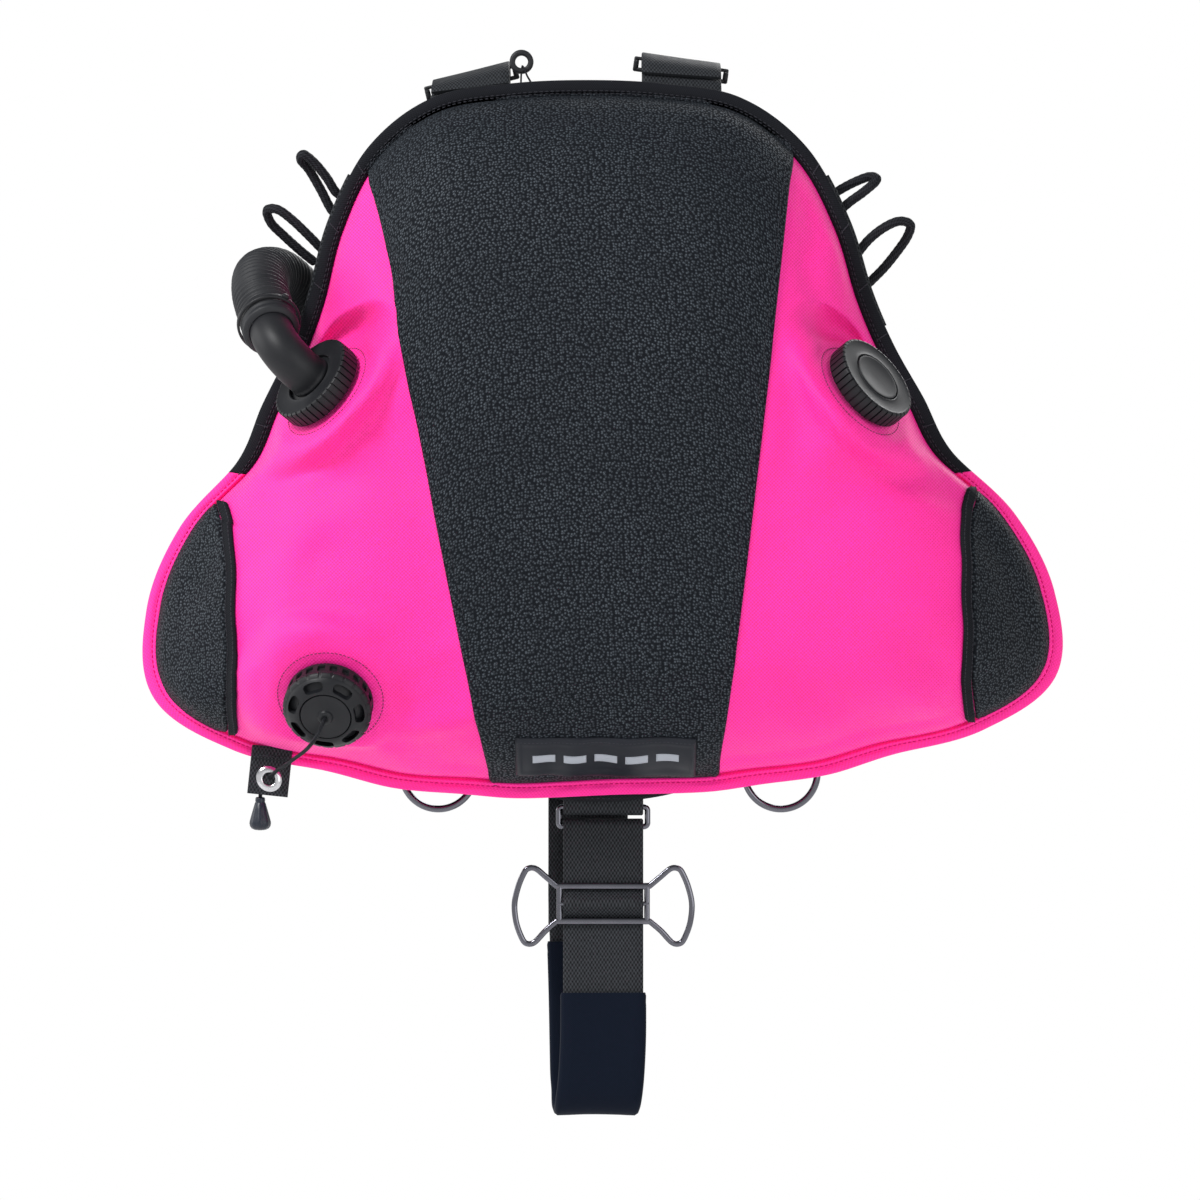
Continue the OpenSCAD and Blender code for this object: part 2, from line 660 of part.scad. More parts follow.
module shoulder_strap(i) {
    color(black) {
        band(strap_points(i), strap_wide(i), web_w, web_t);
        // The tail, folded back over the slider
        tail = smooth([for (q = [[-2, 228.5], [6, 236], [22, 241], [42, 241], [58, 236.5]])
            [strap_top_x[i], q.x, q.y - strap_low[i]]], 3);
        band(tail, [for (q = tail) [cos(strap_tilt[i]), 0, sin(strap_tilt[i])]], web_w, 2);
    }
}

slider_w = 60;
slider_at = [26, 235.4];
// Ladder slider: two bars under the strap and one over it
module slider(i) {
    color([0.2, 0.21, 0.24]) translate([strap_top_x[i], slider_at.x, slider_at.y - strap_low[i]])
        rotate([5, -strap_tilt[i], 0]) {
            for (s = [-1, 1]) translate([s * (slider_w / 2 - 1.6), 0, 0]) {
                cube([3.2, 24, 3], center = true);
                for (u = [-1, 1]) translate([0, u * 10.4, -2.5]) cube([3.2, 3.2, 6], center = true);
                translate([0, 0, 1.8]) cube([3.2, 3.6, 4.2], center = true);
            }
            for (u = [-1, 1]) translate([0, u * 10.4, -4.2]) cube([slider_w, 3.2, 2.6], center = true);
            translate([0, 0, 2.8]) cube([slider_w, 3.6, 2.2], center = true);
        }
}

ring_at = [-49, -3, 237];
module strap_ring() {
    color([0.16, 0.17, 0.2]) {
        translate(ring_at) rotate([90, 0, 0]) difference() {
            cylinder(r = 7.5, h = 6, center = true, $fn = 48);
            cylinder(r = 4, h = 8, center = true, $fn = 48);
        }
    }
}
ring_cord_route = [
    [-49.5, 1.4, 222], [-49.3, 1.2, 229], [-49, 1, 232.8], [-48.6, -1.5, 234.2], [-48.4, -4.5, 234.2],
    [-47.3, -7.2, 232.6], [-45.5, -7.2, 228], [-43, -4, 224], [-41.5, -1, 222]
];
module ring_cord() { color(black) tube(smooth(ring_cord_route, 3), 0.6, 6); }

belt_z = -152;
belt_route = [
    [62, -6.3], [90, -6.3], [112, -4], [130, 12], [141, 42], [141, 78], [128, 114], [102, 142], [68, 158],
    [40, 163]
];
buckle_y = 165.5;
function belt_points(side, tail) = [
    for (q = smooth(concat(belt_route, tail), 4)) [side * q.x, q.y, belt_z]
];
module left_waist_strap() {
    path = belt_points(-1, [[24, 163.6]]);
    color(black) band(path, [for (q = path) [0, 0, 1]], web_w, web_t);
}
module right_waist_strap() {
    path = belt_points(1, [
        [24, 164.2], [8, 164.6], [-8, 165], [-20, 168], [-30, 169.4], [-60, 166], [-88, 157]
    ]);
    color(black) band(path, [for (q = path) [0, 0, 1]], web_w, web_t);
}

// Steel waist buckle: a frame that the straps pass through, and a cam lever on top
buckle_half = 31;
lever_pin = [19, 172.4];
module buckle_frame() {
    color(steel) translate([0, 0, belt_z]) {
        for (s = [-1, 1]) translate([0, 168, s * buckle_half]) cube([52, 13, 2.4], center = true);
        translate([-24, 160.4, 0]) cube([4, 2.4, 2 * buckle_half], center = true);
        translate([0, 160.4, 0]) cube([5, 2.4, 2 * buckle_half], center = true);
        translate([24, 160.4, 0]) cube([4, 2.4, 2 * buckle_half], center = true);
        translate([lever_pin.x, lever_pin.y, 0])
            cylinder(r = 1.5, h = 2 * buckle_half, center = true, $fn = 32);
    }
}
lever_half = 28.6;
module buckle_lever() {
    color(steel) translate([0, 0, belt_z]) difference() {
        union() {
            translate([lever_pin.x, lever_pin.y, 0])
                cylinder(r = 3.2, h = 2 * lever_half, center = true, $fn = 32);
            translate([-3, 174.6, 0]) cube([44, 2, 2 * lever_half], center = true);
            translate([-25, 176, 0]) rotate([0, 0, -25]) cube([8, 2, 40], center = true);
        }
        translate([lever_pin.x, lever_pin.y, 0]) cylinder(r = 1.55, h = 80, center = true, $fn = 32);
    }
}

// A D-ring that hangs from its straight bar, which lies along X at the origin
module d_ring(w, drop, r) {
    half = w / 2 - r;
    rotate([0, 90, 0]) cylinder(r = r, h = 2 * half, center = true, $fn = 32);
    for (s = [-1, 1]) {
        translate([s * half, 0, 0]) sphere(r = r, $fn = 32);
        translate([s * half, 0, -drop]) cylinder(r = r, h = drop, $fn = 32);
    }
    translate([0, 0, -drop]) rotate([90, 0, 0]) rotate_extrude(angle = -180, $fn = 96)
        translate([half, 0]) circle(r = r, $fn = 32);
}

chest_x = [-96.5, 81.5];
chest_ring_at = [155, 92];
module chest_ring(i) {
    color(steel) translate([chest_x[i], chest_ring_at.x, chest_ring_at.y]) d_ring(52, 12, 2.5);
}
// Webbing keepers: one wraps each shoulder strap and holds a D-ring's bar
module chest_keepers() {
    color(black) for (i = [0, 1]) translate([chest_x[i], 0, chest_ring_at.y]) difference() {
        union() {
            translate([0, 147, 0]) cube([57, 9, 16], center = true);
            translate([0, chest_ring_at.x - 1, 0]) cube([40, 10, 11], center = true);
        }
        translate([0, 147, 0]) cube([52.6, 4.6, 20], center = true);
        translate([0, chest_ring_at.x, 0]) rotate([0, 90, 0])
            cylinder(r = 2.9, h = 60, center = true, $fn = 32);
    }
}

hip_x = [-101, 113];
hip_ring_at = [-2.2, -203];
module hip_ring(i) {
    color(steel) translate([hip_x[i], hip_ring_at.x, hip_ring_at.y]) d_ring(50, 4, wire_r);
}

// A tab of webbing folded round a bar at [y, z] and sewn to itself up to z top
module tab_loop(x, bar, w, top) {
    r = wire_r + 0.6 + web_t / 2;
    path = concat(
        [[x, bar.x - r, top], [x, bar.x - r, mix(top, bar.y, 0.5)]],
        [for (k = [0:8]) let (a = 180 + 180 * k / 8) [x, bar.x + r * cos(a), bar.y + r * sin(a)]],
        [[x, bar.x + r - 1, bar.y + 5]],
        [for (z = [bar.y + 13, top]) [x, bar.x - r + web_t + 0.3, z]]
    );
    color(black) band(path, [for (q = path) [1, 0, 0]], w, web_t);
}
crotch_x = 2;
crotch_bar = [-2.2, -228.5];
module webbing_tabs() {
    for (i = [0, 1]) tab_loop(hip_x[i], hip_ring_at, 38, -178);
    tab_loop(crotch_x, crotch_bar, web_w, -196);
}

// ---------- crotch strap ----------
slide_bar_drop = 12.3;
ring_wire = 1.8;
ring_half = 27.7;
ring_corner = 2.4;
// Rectangular ring: its top bar lies along X at the origin
module box_ring(half, drop, corner, r) {
    for (z = [0, -drop]) translate([0, 0, z]) rotate([0, 90, 0])
        cylinder(r = r, h = 2 * (half - corner), center = true, $fn = 32);
    for (s = [-1, 1]) {
        translate([s * half, 0, -drop + corner]) cylinder(r = r, h = drop - 2 * corner, $fn = 32);
        for (turn = s > 0 ? [0, 270] : [90, 180])
            translate([s * (half - corner), 0, turn < 180 && turn >= 0 ? -corner : corner - drop])
                rotate([90, 0, 0]) rotate([0, 0, turn])
                    rotate_extrude($fn = 48, angle = 90) translate([corner, 0]) circle(r = r, $fn = 32);
    }
}
module crotch_ring() {
    color(steel) translate([crotch_x, crotch_bar.x, crotch_bar.y])
        box_ring(ring_half, slide_bar_drop, ring_corner, ring_wire);
}

// Side view of the crotch strap as [x shift, y, z]: round the ring, through the rail, down and up again
rear_y0 = 19;
rear_shift = -9.5;
strap_turn = ring_wire + 0.8 + web_t / 2;
strap_fold = [
    for (k = [0:6]) let (a = 180 * k / 6)
        [0, crotch_bar.x + strap_turn * cos(a), crotch_bar.y - slide_bar_drop + strap_turn * sin(a)]
];
strap_leg = [
    [0, -6.4, -250], [0, -6.8, -262], [0, -7.1, -272], [0, -7.2, -278], [0, -8.5, -281.4], [0, -10.5, -283.3],
    [0, -12.8, -285.4], [0, -14.4, -287.2], [0, -14.8, -288.5], [0, -14.4, -289.8], [0, -12.8, -291.6],
    [0, -10.5, -293.7], [0, -8.5, -295.6], [0, -7.4, -299], [0, -8, -310], [0, -9.5, -328], [0, -10.4, -344],
    [0, -11.5, -370], [-1, -12, -393], [-2.5, -9, -408], [-4, -1.5, -416.5], [-5, 7, -417.2],
    [-6, 15.5, -410], [-6.6, 19.6, -396], [-7, 20.6, -376], [-7.6, 20.4, -345], [-8.6, 19.8, -313],
    [rear_shift, 19.2, -290],
    [rear_shift, rear_y0, -260], [rear_shift, rear_y0 + 0.2, -232], [rear_shift, rear_y0 + 4.5, -223.5],
    [rear_shift, rear_y0 + 9, -232], [rear_shift, rear_y0 + 9, -262], [rear_shift, rear_y0 + 5.5, -280],
    [rear_shift, rear_y0 + 3.2, -290], [rear_shift, rear_y0 + 3.6, -304]
];
leg_steps = 2;
function crotch_path(legs) = [for (q = legs) [q.x + crotch_x, q.y, q.z]];
module crotch_strap() {
    path = crotch_path(concat(
        [[0, crotch_bar.x + strap_turn, -262]], strap_fold, smooth(strap_leg, leg_steps)
    ));
    color(black) band(path, [for (q = path) [1, 0, 0]], web_w, web_t);
}

// The sleeve runs between these two points of the strap's route
sleeve_from = 16;
sleeve_to = 26;
sleeve_t = 7;
module crotch_pad() {
    leg = crotch_path(smooth(strap_leg, leg_steps));
    along = [for (i = [sleeve_from * leg_steps:sleeve_to * leg_steps]) leg[i]];
    inside = [for (i = [sleeve_from * leg_steps - 1:sleeve_to * leg_steps + 1]) leg[i]];
    color([0.03, 0.05, 0.1]) difference() {
        band(along, [for (q = along) [1, 0, 0]], web_w + 3.6, sleeve_t);
        band(inside, [for (q = inside) [1, 0, 0]], web_w + 1, web_t + 0.9);
    }
}

// Stainless rail: a three-bar slider between two open loops
rail_y = -12;
rail_t = 3;
rail_z = [-275.5, -301.5];
rail_half = 29;
rail_bar = 4.2;
rail_side = 3.4;
rail_wire = 4;
rail_mid = (rail_z[0] + rail_z[1]) / 2;
// Right half of the rail's outline, and the hole in its open loop, from the top down
rail_outline = [
    [27.5, rail_z[0]], [35, -269.5], [41.5, -264.6], [47.5, -264.8], [51.5, -269.5], [55, -278],
    [57.3, -289], [56, -301], [52, -311.5], [48, -315.5], [42, -314.6], [35, -307.5], [27.5, rail_z[1]]
];
rail_hole = [
    [29.8, rail_z[0] - 4.5], [36.6, -274], [43, -268.6], [47, -268.8], [48.6, -272], [51.4, -279.4],
    [53.3, -289], [52.2, -300.4], [48.6, -310], [46.4, -311.5], [43.4, -310.4], [36.6, -303],
    [29.8, rail_z[1] + 4.5]
];
module tail_rail() {
    right = smooth(rail_outline, 3);
    color(steel) translate([crotch_x, 0, 0]) upright(rail_y, rail_t) difference() {
        polygon(concat(right, [for (p = reversed(right)) [-p.x, p.y]]));
        for (z = [rail_mid + 1.4, rail_z[1] + rail_bar]) translate([-rail_half + rail_side, z])
            square([2 * (rail_half - rail_side), rail_z[0] - rail_bar - rail_mid - 1.4]);
        polygon(smooth(rail_hole, 3));
        mirror([1, 0]) polygon(smooth(rail_hole, 3));
    }
}

wing_cover();
air_bladder();
wing_back_panel();
centre_panel();
tip_panel(-1);  // left_tip_panel
tip_panel(1);  // right_tip_panel
tip_bindings();
edge_binding();
hem_binding();
name_patch();
port_flange(elbow_port);  // elbow_flange
port_flange(blank_port);  // blank_flange
port_flange(dump_port);  // dump_flange
port_gaskets();
elbow();
screw_ring(elbow_port);  // elbow_ring
blank_plug();
screw_ring(blank_port);  // blank_ring
dump_cap();
dump_hub();
dump_poppet();
dump_spring();
pull_cord();
cord_tab();
cord_grommet();
pull_knob();
inflator_hose();
hose_bands();
inflator_body();
inflate_button();
deflate_button();
mouthpiece();
inflator_nipple();
left_bungee_loops();
right_bungee_loops();
bungee_sleeves();
harness_panel();
back_pad();
shoulder_strap(0);  // left_shoulder_strap
shoulder_strap(1);  // right_shoulder_strap
slider(0);  // left_slider
slider(1);  // right_slider
strap_ring();
ring_cord();
left_waist_strap();
right_waist_strap();
buckle_frame();
buckle_lever();
chest_ring(0);  // left_chest_ring
chest_ring(1);  // right_chest_ring
chest_keepers();
hip_ring(0);  // left_hip_ring
hip_ring(1);  // right_hip_ring
webbing_tabs();
butt_pad();
crotch_strap();
crotch_pad();
crotch_ring();
tail_rail();
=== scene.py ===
import json
import math

import bpy
import numpy as np
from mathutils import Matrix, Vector


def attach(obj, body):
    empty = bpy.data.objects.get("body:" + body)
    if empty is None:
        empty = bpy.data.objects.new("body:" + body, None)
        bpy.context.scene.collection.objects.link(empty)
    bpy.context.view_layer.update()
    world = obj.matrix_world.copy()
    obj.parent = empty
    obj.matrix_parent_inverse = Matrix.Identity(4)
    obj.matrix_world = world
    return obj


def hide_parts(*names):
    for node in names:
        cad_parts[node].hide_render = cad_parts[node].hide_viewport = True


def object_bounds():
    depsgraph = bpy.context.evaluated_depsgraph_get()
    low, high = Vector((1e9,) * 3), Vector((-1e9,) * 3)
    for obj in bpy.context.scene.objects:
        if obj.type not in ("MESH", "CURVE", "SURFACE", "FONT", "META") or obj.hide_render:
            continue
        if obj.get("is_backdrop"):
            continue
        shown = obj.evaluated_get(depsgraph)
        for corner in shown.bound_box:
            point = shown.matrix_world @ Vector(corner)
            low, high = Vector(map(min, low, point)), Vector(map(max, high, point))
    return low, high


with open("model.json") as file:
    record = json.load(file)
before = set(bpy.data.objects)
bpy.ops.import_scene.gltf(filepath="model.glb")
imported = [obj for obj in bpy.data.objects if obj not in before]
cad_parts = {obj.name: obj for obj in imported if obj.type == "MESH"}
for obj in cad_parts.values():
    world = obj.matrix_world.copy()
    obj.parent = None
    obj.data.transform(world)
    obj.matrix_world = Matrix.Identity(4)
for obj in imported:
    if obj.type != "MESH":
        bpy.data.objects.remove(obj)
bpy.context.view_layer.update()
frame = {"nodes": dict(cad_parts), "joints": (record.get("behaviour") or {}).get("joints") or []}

JOINTS = {j["name"]: j for j in frame["joints"]}
NODES = frame["nodes"]
TAU = 2 * math.pi


# ---------------------------------------------------------------- numbers shared with the part's source, mm
WING_Z, REAR_Y, RIM_W, LEAN, LEAN_FROM = -50.0, -16.0, 12.0, 0.024, -130.0
TILT = 2.0
BULGE, TIP_SWEEP, FLAT_HALF, SWEEP_RUN = 80.0, 40.0, 140.0, 150.0
REAR_PUFF, REAR_PUFF_FROM, REAR_PUFF_RUN = 12.0, 155, 50
OUTLINE = np.array([171, 174, 182, 193, 212, 234, 273, 303, 291, 263, 228, 220, 218, 227, 249, 271, 281, 277,
                    275.0])
PORT_FLAT_R, PORT_BLEND_R = 41.0, 68.0
WEB_W, WEB_T = 50.0, 2.5
BAR_Y = -2.2             # the middle of the bars of the hip and crotch rings
MEAN_R = 250             # turns an angle round the wing into a distance along its edge
OUT, REARWARD, ACROSS = np.array([0, -1.0, 0]), np.array([0, 1.0, 0]), np.array([1.0, 0, 0])


def unit(v):
    v = np.asarray(v, float)
    return v / np.linalg.norm(v, axis=-1, keepdims=True)


def mix(a, b, t):
    return a + (b - a) * t


def ease(t):
    c = np.clip(t, 0, 1)
    return c * c * (3 - 2 * c)


def hump(d, w):
    return np.exp(-((d / w) ** 2))


def spline_at(a, b, c, d, t):
    bend = (2 * a - 5 * b + 4 * c - d) * t * t
    return 0.5 * (2 * b + (c - a) * t + bend + (3 * b - a - 3 * c + d) * t ** 3)


def smooth(pts, steps):
    p = np.array(pts, float)
    n = len(p)
    out = [spline_at(p[max(0, i - 1)], p[i], p[i + 1], p[min(n - 1, i + 2)], k / steps)
           for i in range(n - 1) for k in range(steps)]
    return np.array(out + [p[-1]])


def length_of(path):
    return float(np.linalg.norm(np.diff(path, axis=0), axis=1).sum())


def run_of(path):
    """How far along the path each of its points is."""
    return np.concatenate([[0], np.cumsum(np.linalg.norm(np.diff(path, axis=0), axis=1))])


def steps_of(path):
    """The same, for a path of even steps."""
    return np.linspace(0, length_of(path), len(path))


def even(path, step):
    """The path again, at even steps."""
    path = np.asarray(path, float)
    s = run_of(path)
    t = np.linspace(0, s[-1], max(2, int(round(s[-1] / step))) + 1)
    return np.stack([np.interp(t, s, path[:, k]) for k in range(path.shape[1])], 1)


def rounded(d, r, least=0.0):
    """A quarter round: 0 at an edge, 1 at r from it."""
    return np.sqrt(np.clip(1 - (1 - np.clip(d / r, 0, 1)) ** 2, least, 1))


def placed(p, axes):
    """Points given along three directions from a centre. axes is (centre, u, v, w)."""
    c, u, v, w = [np.asarray(q, float) for q in axes]
    return c + p[..., 0:1] * u + p[..., 1:2] * v + p[..., 2:3] * w


def circle(r, n, w=0.0):
    """Points of a circle as (u, v, w); the last meets the first."""
    t = np.linspace(0, TAU, n + 1)
    return np.stack([r * np.cos(t), r * np.sin(t), w + 0 * t], -1)


# ---------------------------------------------------------------- the wing's surface
def outline_r(a):
    a = a - TILT * (1 - np.sin(np.radians(a))) / 2
    b = np.mod(np.mod(a, 360) + 450, 360)
    u = np.where(b > 180, 360 - b, b) / 10
    i = np.minimum(17, np.floor(u)).astype(int)
    far = np.where(i + 2 > 18, 34 - i, i + 2)
    return spline_at(OUTLINE[np.abs(i - 1)], OUTLINE[i], OUTLINE[i + 1], OUTLINE[far], u - i)


def lean_at(z):
    return LEAN * (z - LEAN_FROM)


def rim_point(a, inset):
    a = np.asarray(a, float)
    r = outline_r(a) - inset
    z = WING_Z + r * np.sin(np.radians(a))
    return np.stack([r * np.cos(np.radians(a)) - lean_at(z), z], -1)


def wing_grid(shares, n):
    """Rows of places at shares of the way out to the edge tape, n to a row: x, z and the angle."""
    a = np.arange(n) * 360 / n
    r = (outline_r(a)[None] - RIM_W) * shares[:, None]
    z = WING_Z + r * np.sin(np.radians(a))
    return r * np.cos(np.radians(a)) - lean_at(z), z, a


def edge_y(x):
    return REAR_Y + TIP_SWEEP * (np.maximum(0, np.abs(x) - FLAT_HALF) / SWEEP_RUN) ** 2


def polar(x, z):
    """The place on the wing as a share of the way out and an angle."""
    dx, dz = x + lean_at(z), z - WING_Z
    a = np.degrees(np.arctan2(dz, dx))
    return np.hypot(dx, dz) / (outline_r(a) - RIM_W), a


def puff(s):
    return np.maximum(0, 1 - np.minimum(1, s) ** 4) ** 0.6


def rear(x, z):
    side = ease((np.abs(x) - REAR_PUFF_FROM) / REAR_PUFF_RUN)
    return edge_y(x) + 1.8 + REAR_PUFF * puff(polar(x, z)[0]) * side


class Port:
    """A port's place and directions: w points out of the wing."""

    def __init__(self, joint, roll):
        self.c = np.array(JOINTS[joint]["pos_m"]) * 1000
        self.w = unit(JOINTS[joint]["axis"])
        roll = np.array(roll, float)
        self.u = unit(roll - self.w * roll.dot(self.w))
        self.v = np.cross(self.w, self.u)

    def at(self, p):
        return placed(np.asarray(p, float), (self.c, self.u, self.v, self.w))

    def base(self, x, z):
        return self.c[1] - (self.w[0] * (x - self.c[0]) + self.w[2] * (z - self.c[2])) / self.w[1]

    def away(self, x, z):
        return np.sqrt((x - self.c[0]) ** 2 + (self.base(x, z) - self.c[1]) ** 2 + (z - self.c[2]) ** 2)


ELBOW = Port("elbow_ring_turn", (-0.194, 0.834, 0.517))
BLANK = Port("blank_ring_turn", (0, 0.8, 0.6))
DUMP = Port("dump_cap_turn", (1, 0, 0))
PORTS = [ELBOW, BLANK, DUMP]


def front(x, z):
    """The cover's plain shape: a puffed dome, flat round each port."""
    s = polar(x, z)[0]
    y = edge_y(x) - BULGE * puff(s)
    edge = ease((1 - s) / 0.06)
    for p in PORTS:
        flat = 1 - ease((p.away(x, z) - PORT_FLAT_R) / (PORT_BLEND_R - PORT_FLAT_R))
        y = mix(y, p.base(x, z), flat * edge)
    return y


# ---------------------------------------------------------------- meshes
def add_mesh(name, verts, faces, mat, body="vest", wv=None, slot=None, angle=None, node=None):
    """A piece from points in mm. wv is the place on its own cloth, in mm, one pair a vertex."""
    me = bpy.data.meshes.new(name)
    v = np.asarray(verts, float).reshape(-1, 3) / 1000
    me.from_pydata(v.tolist(), [], [list(map(int, f)) for f in faces])
    me.validate()
    if wv is not None:
        at = me.attributes.new("wv", "FLOAT_VECTOR", "POINT")
        w = np.zeros((len(v), 3), np.float32)
        w[:, :2] = np.asarray(wv, float).reshape(-1, 2) / 1000
        at.data.foreach_set("vector", w.ravel())
    o = bpy.data.objects.new(name, me)
    bpy.context.scene.collection.objects.link(o)
    me.polygons.foreach_set("use_smooth", [True] * len(me.polygons))
    if angle is not None:
        me.set_sharp_from_angle(angle=math.radians(angle))
    me.materials.append(mat)
    me.update()
    if body:
        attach(o, body)
    if node:
        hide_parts(node)
    return o


def quads(rows, cols, around=False):
    """Faces of a grid of rows by cols points; around closes the columns."""
    i, j = np.meshgrid(np.arange(rows - 1), np.arange(cols if around else cols - 1), indexing="ij")
    k = (j + 1) % cols
    f = np.stack([i * cols + j, i * cols + k, (i + 1) * cols + k, (i + 1) * cols + j], -1)
    return f.reshape(-1, 4).tolist()


class Build:
    """Collects several closed parts into one piece."""

    def __init__(self):
        self.v, self.f, self.w, self.n = [], [], [], 0

    def rings(self, rings, cap=True, close=False, wv=None):
        """Rings of points, each closed; capped at both ends, or joined end to end."""
        rings = np.asarray(rings, float)
        n, k = rings.shape[:2]
        faces = quads(n, k, True)
        if close:
            j = np.arange(k)
            faces += np.stack([(n - 1) * k + j, (n - 1) * k + (j + 1) % k, (j + 1) % k, j], -1).tolist()
        elif cap:
            faces += [list(range(k))[::-1], [(n - 1) * k + j for j in range(k)]]
        self.v.append(rings.reshape(-1, 3))
        self.w.append(np.zeros((n * k, 2)) if wv is None else np.asarray(wv, float).reshape(-1, 2))
        self.f += [[i + self.n for i in f] for f in faces]
        self.n += n * k
        return self

    def piece(self, name, mat, **more):
        return add_mesh(name, np.concatenate(self.v), self.f, mat, wv=np.concatenate(self.w), **more)


def frames_along(path, side=(0.31, 0.17, 0.93)):
    """Tangents and two side vectors along a path, turned as little as possible."""
    t = unit(np.gradient(path, axis=0))
    out, s = [], np.asarray(side, float)
    for d in t:
        s = unit(s - d * s.dot(d))
        out.append(s)
    u = np.array(out)
    return t, u, np.cross(t, u)


def tube_rings(path, radii, sides):
    """Rings of a tube; radii is a number, one a point, or one a point and side."""
    _, u, v = frames_along(path)
    a = np.arange(sides) * TAU / sides
    r = np.asarray(radii, float)
    r = np.broadcast_to(r, (len(path),))[:, None, None] if r.ndim < 2 else r[..., None]
    round_it = np.cos(a)[None, :, None] * u[:, None] + np.sin(a)[None, :, None] * v[:, None]
    return path[:, None] + r * round_it


def turned(profile, port, n=96, slots=0, slot_depth=0.0):
    """A profile of (r, w) or (r, w, ribbed) turned round an axis. port is a Port, or (centre, u, v, w)."""
    if slots:
        inside = np.array([0, 0.08, 0.12, 0.2, 0.5, 0.8, 0.88, 0.92])
        a = ((np.arange(slots)[:, None] + inside) / slots).ravel() * TAU
        cut = np.tile([1, 1, 0, 0, 0, 0, 0, 1.0], slots)
    else:
        a = np.arange(n) * TAU / n
        cut = np.zeros(n)
    rings = []
    for p in profile:
        r = p[0] - (p[2] if len(p) > 2 else 0) * slot_depth * cut
        rings.append(np.stack([r * np.cos(a), r * np.sin(a), np.full_like(a, p[1])], -1))
    return port.at(rings) if isinstance(port, Port) else placed(np.array(rings), port)


def lathe(name, mat, profile, port, n, close=False, **more):
    """One turned piece; close joins the profile's end to its start."""
    return Build().rings(turned(profile, port, n), close=close).piece(name, mat, **more)


def axes_at(c, w, hint=(0.3, 0.2, 0.9)):
    w = unit(w)
    u = unit(np.asarray(hint, float) - w * np.dot(hint, w))
    return c, u, np.cross(w, u), w


def rbox(size, r=0.5, n=3):
    """A box with rounded edges, as rings for Build.rings, about its middle along its longest way."""
    sx, sy, sz = size
    a = []
    for cx, cy, s in ((1, 1, 0), (-1, 1, 90), (-1, -1, 180), (1, -1, 270)):
        for k in range(n + 1):
            t = math.radians(s + 90 * k / n)
            a.append((cx * (sx / 2 - r) + r * math.cos(t), cy * (sy / 2 - r) + r * math.sin(t)))
    a = np.array(a)
    rings = []
    for z, q in [(-sz / 2, r), (-sz / 2 + r * 0.3, r * 0.3), (-sz / 2 + r, 0), (sz / 2 - r, 0),
                 (sz / 2 - r * 0.3, r * 0.3), (sz / 2, r)]:
        k = np.array([(sx - 2 * q) / sx, (sy - 2 * q) / sy])
        rings.append(np.concatenate([a * k, np.full((len(a), 1), z)], 1))
    return np.array(rings)


def boxes(name, mat, parts, place=None, **more):
    """One piece of rounded bars: (size, middle, longest axis, rounding) and maybe a turn about Z."""
    b = Build()
    for size, at, axis, r, *turn in parts:
        order = {"x": [2, 1, 0], "y": [0, 2, 1], "z": [0, 1, 2]}[axis]
        g = rbox([size[k] for k in order], r)[..., order]
        g = g if axis == "z" else g[:, ::-1]
        t = math.radians(turn[0]) if turn else 0
        m = np.array([[math.cos(t), -math.sin(t), 0], [math.sin(t), math.cos(t), 0], [0, 0, 1]])
        g = g @ m.T + np.array(at, float)
        b.rings(place(g) if place else g)
    return b.piece(name, mat, angle=50, **more)


def strap_rings(path, wide, w, t, n_edge=3, cols=9):
    """Rings of a flat strap with soft edges, and the place of each point on the strap."""
    tan = unit(np.gradient(path, axis=0))
    wide = np.broadcast_to(np.asarray(wide, float), path.shape)
    u = unit(wide - tan * (wide * tan).sum(1, keepdims=True))
    v = np.cross(tan, u)
    half, soft = w / 2 - t * 0.35, t * 0.35
    across = [-1 + 2 * k / (cols - 1) for k in range(cols)]
    top = [(x * half, t / 2 * (1 - 0.06 * math.cos(math.pi * x))) for x in across]
    turn = [(half + soft * math.sin(a), t / 2 * math.cos(a) * 0.96)
            for a in [math.pi * (k + 1) / (n_edge + 1) for k in range(n_edge)]]
    sec = np.array(top + turn + [(x, -y) for x, y in top[::-1]] + [(-x, y) for x, y in turn[::-1]])
    rings = path[:, None] + sec[None, :, 0:1] * u[:, None] + sec[None, :, 1:2] * v[:, None]
    return rings, np.stack(np.broadcast_arrays(sec[None, :, 0], run_of(path)[:, None]), -1)


def strap(name, path, wide, mat, w=WEB_W, t=WEB_T, step=2.0, **more):
    path = np.asarray(path, float)
    wide = np.broadcast_to(np.asarray(wide, float), path.shape)
    both = even(np.concatenate([path, wide], 1), step)
    rings, wv = strap_rings(both[:, :3], both[:, 3:], w, t)
    return Build().rings(rings, wv=wv).piece(name, mat, angle=50, **more)


def stitches(build, path, normal, pitch=3.2, long=2.2, r=0.42, lift=0.15):
    """Adds a row of sewn stitches along a path."""
    at = even(np.concatenate([path, np.broadcast_to(normal, path.shape)], 1), pitch)
    p, n = at[:, :3], unit(at[:, 3:])
    t = unit(np.gradient(p, axis=0))
    b = np.cross(t, n)
    along = np.array([-0.5, -0.42, -0.2, 0.2, 0.42, 0.5]) * long
    size = np.array([0.15, 0.75, 1, 1, 0.75, 0.15]) * r
    a = np.arange(6) * TAU / 6
    for k in range(len(p)):
        rings = (p[k] + n[k] * lift + along[:, None, None] * t[k]
                 + size[:, None, None] * (np.cos(a)[None, :, None] * b[k] + np.sin(a)[None, :, None] * n[k]))
        build.rings(rings)


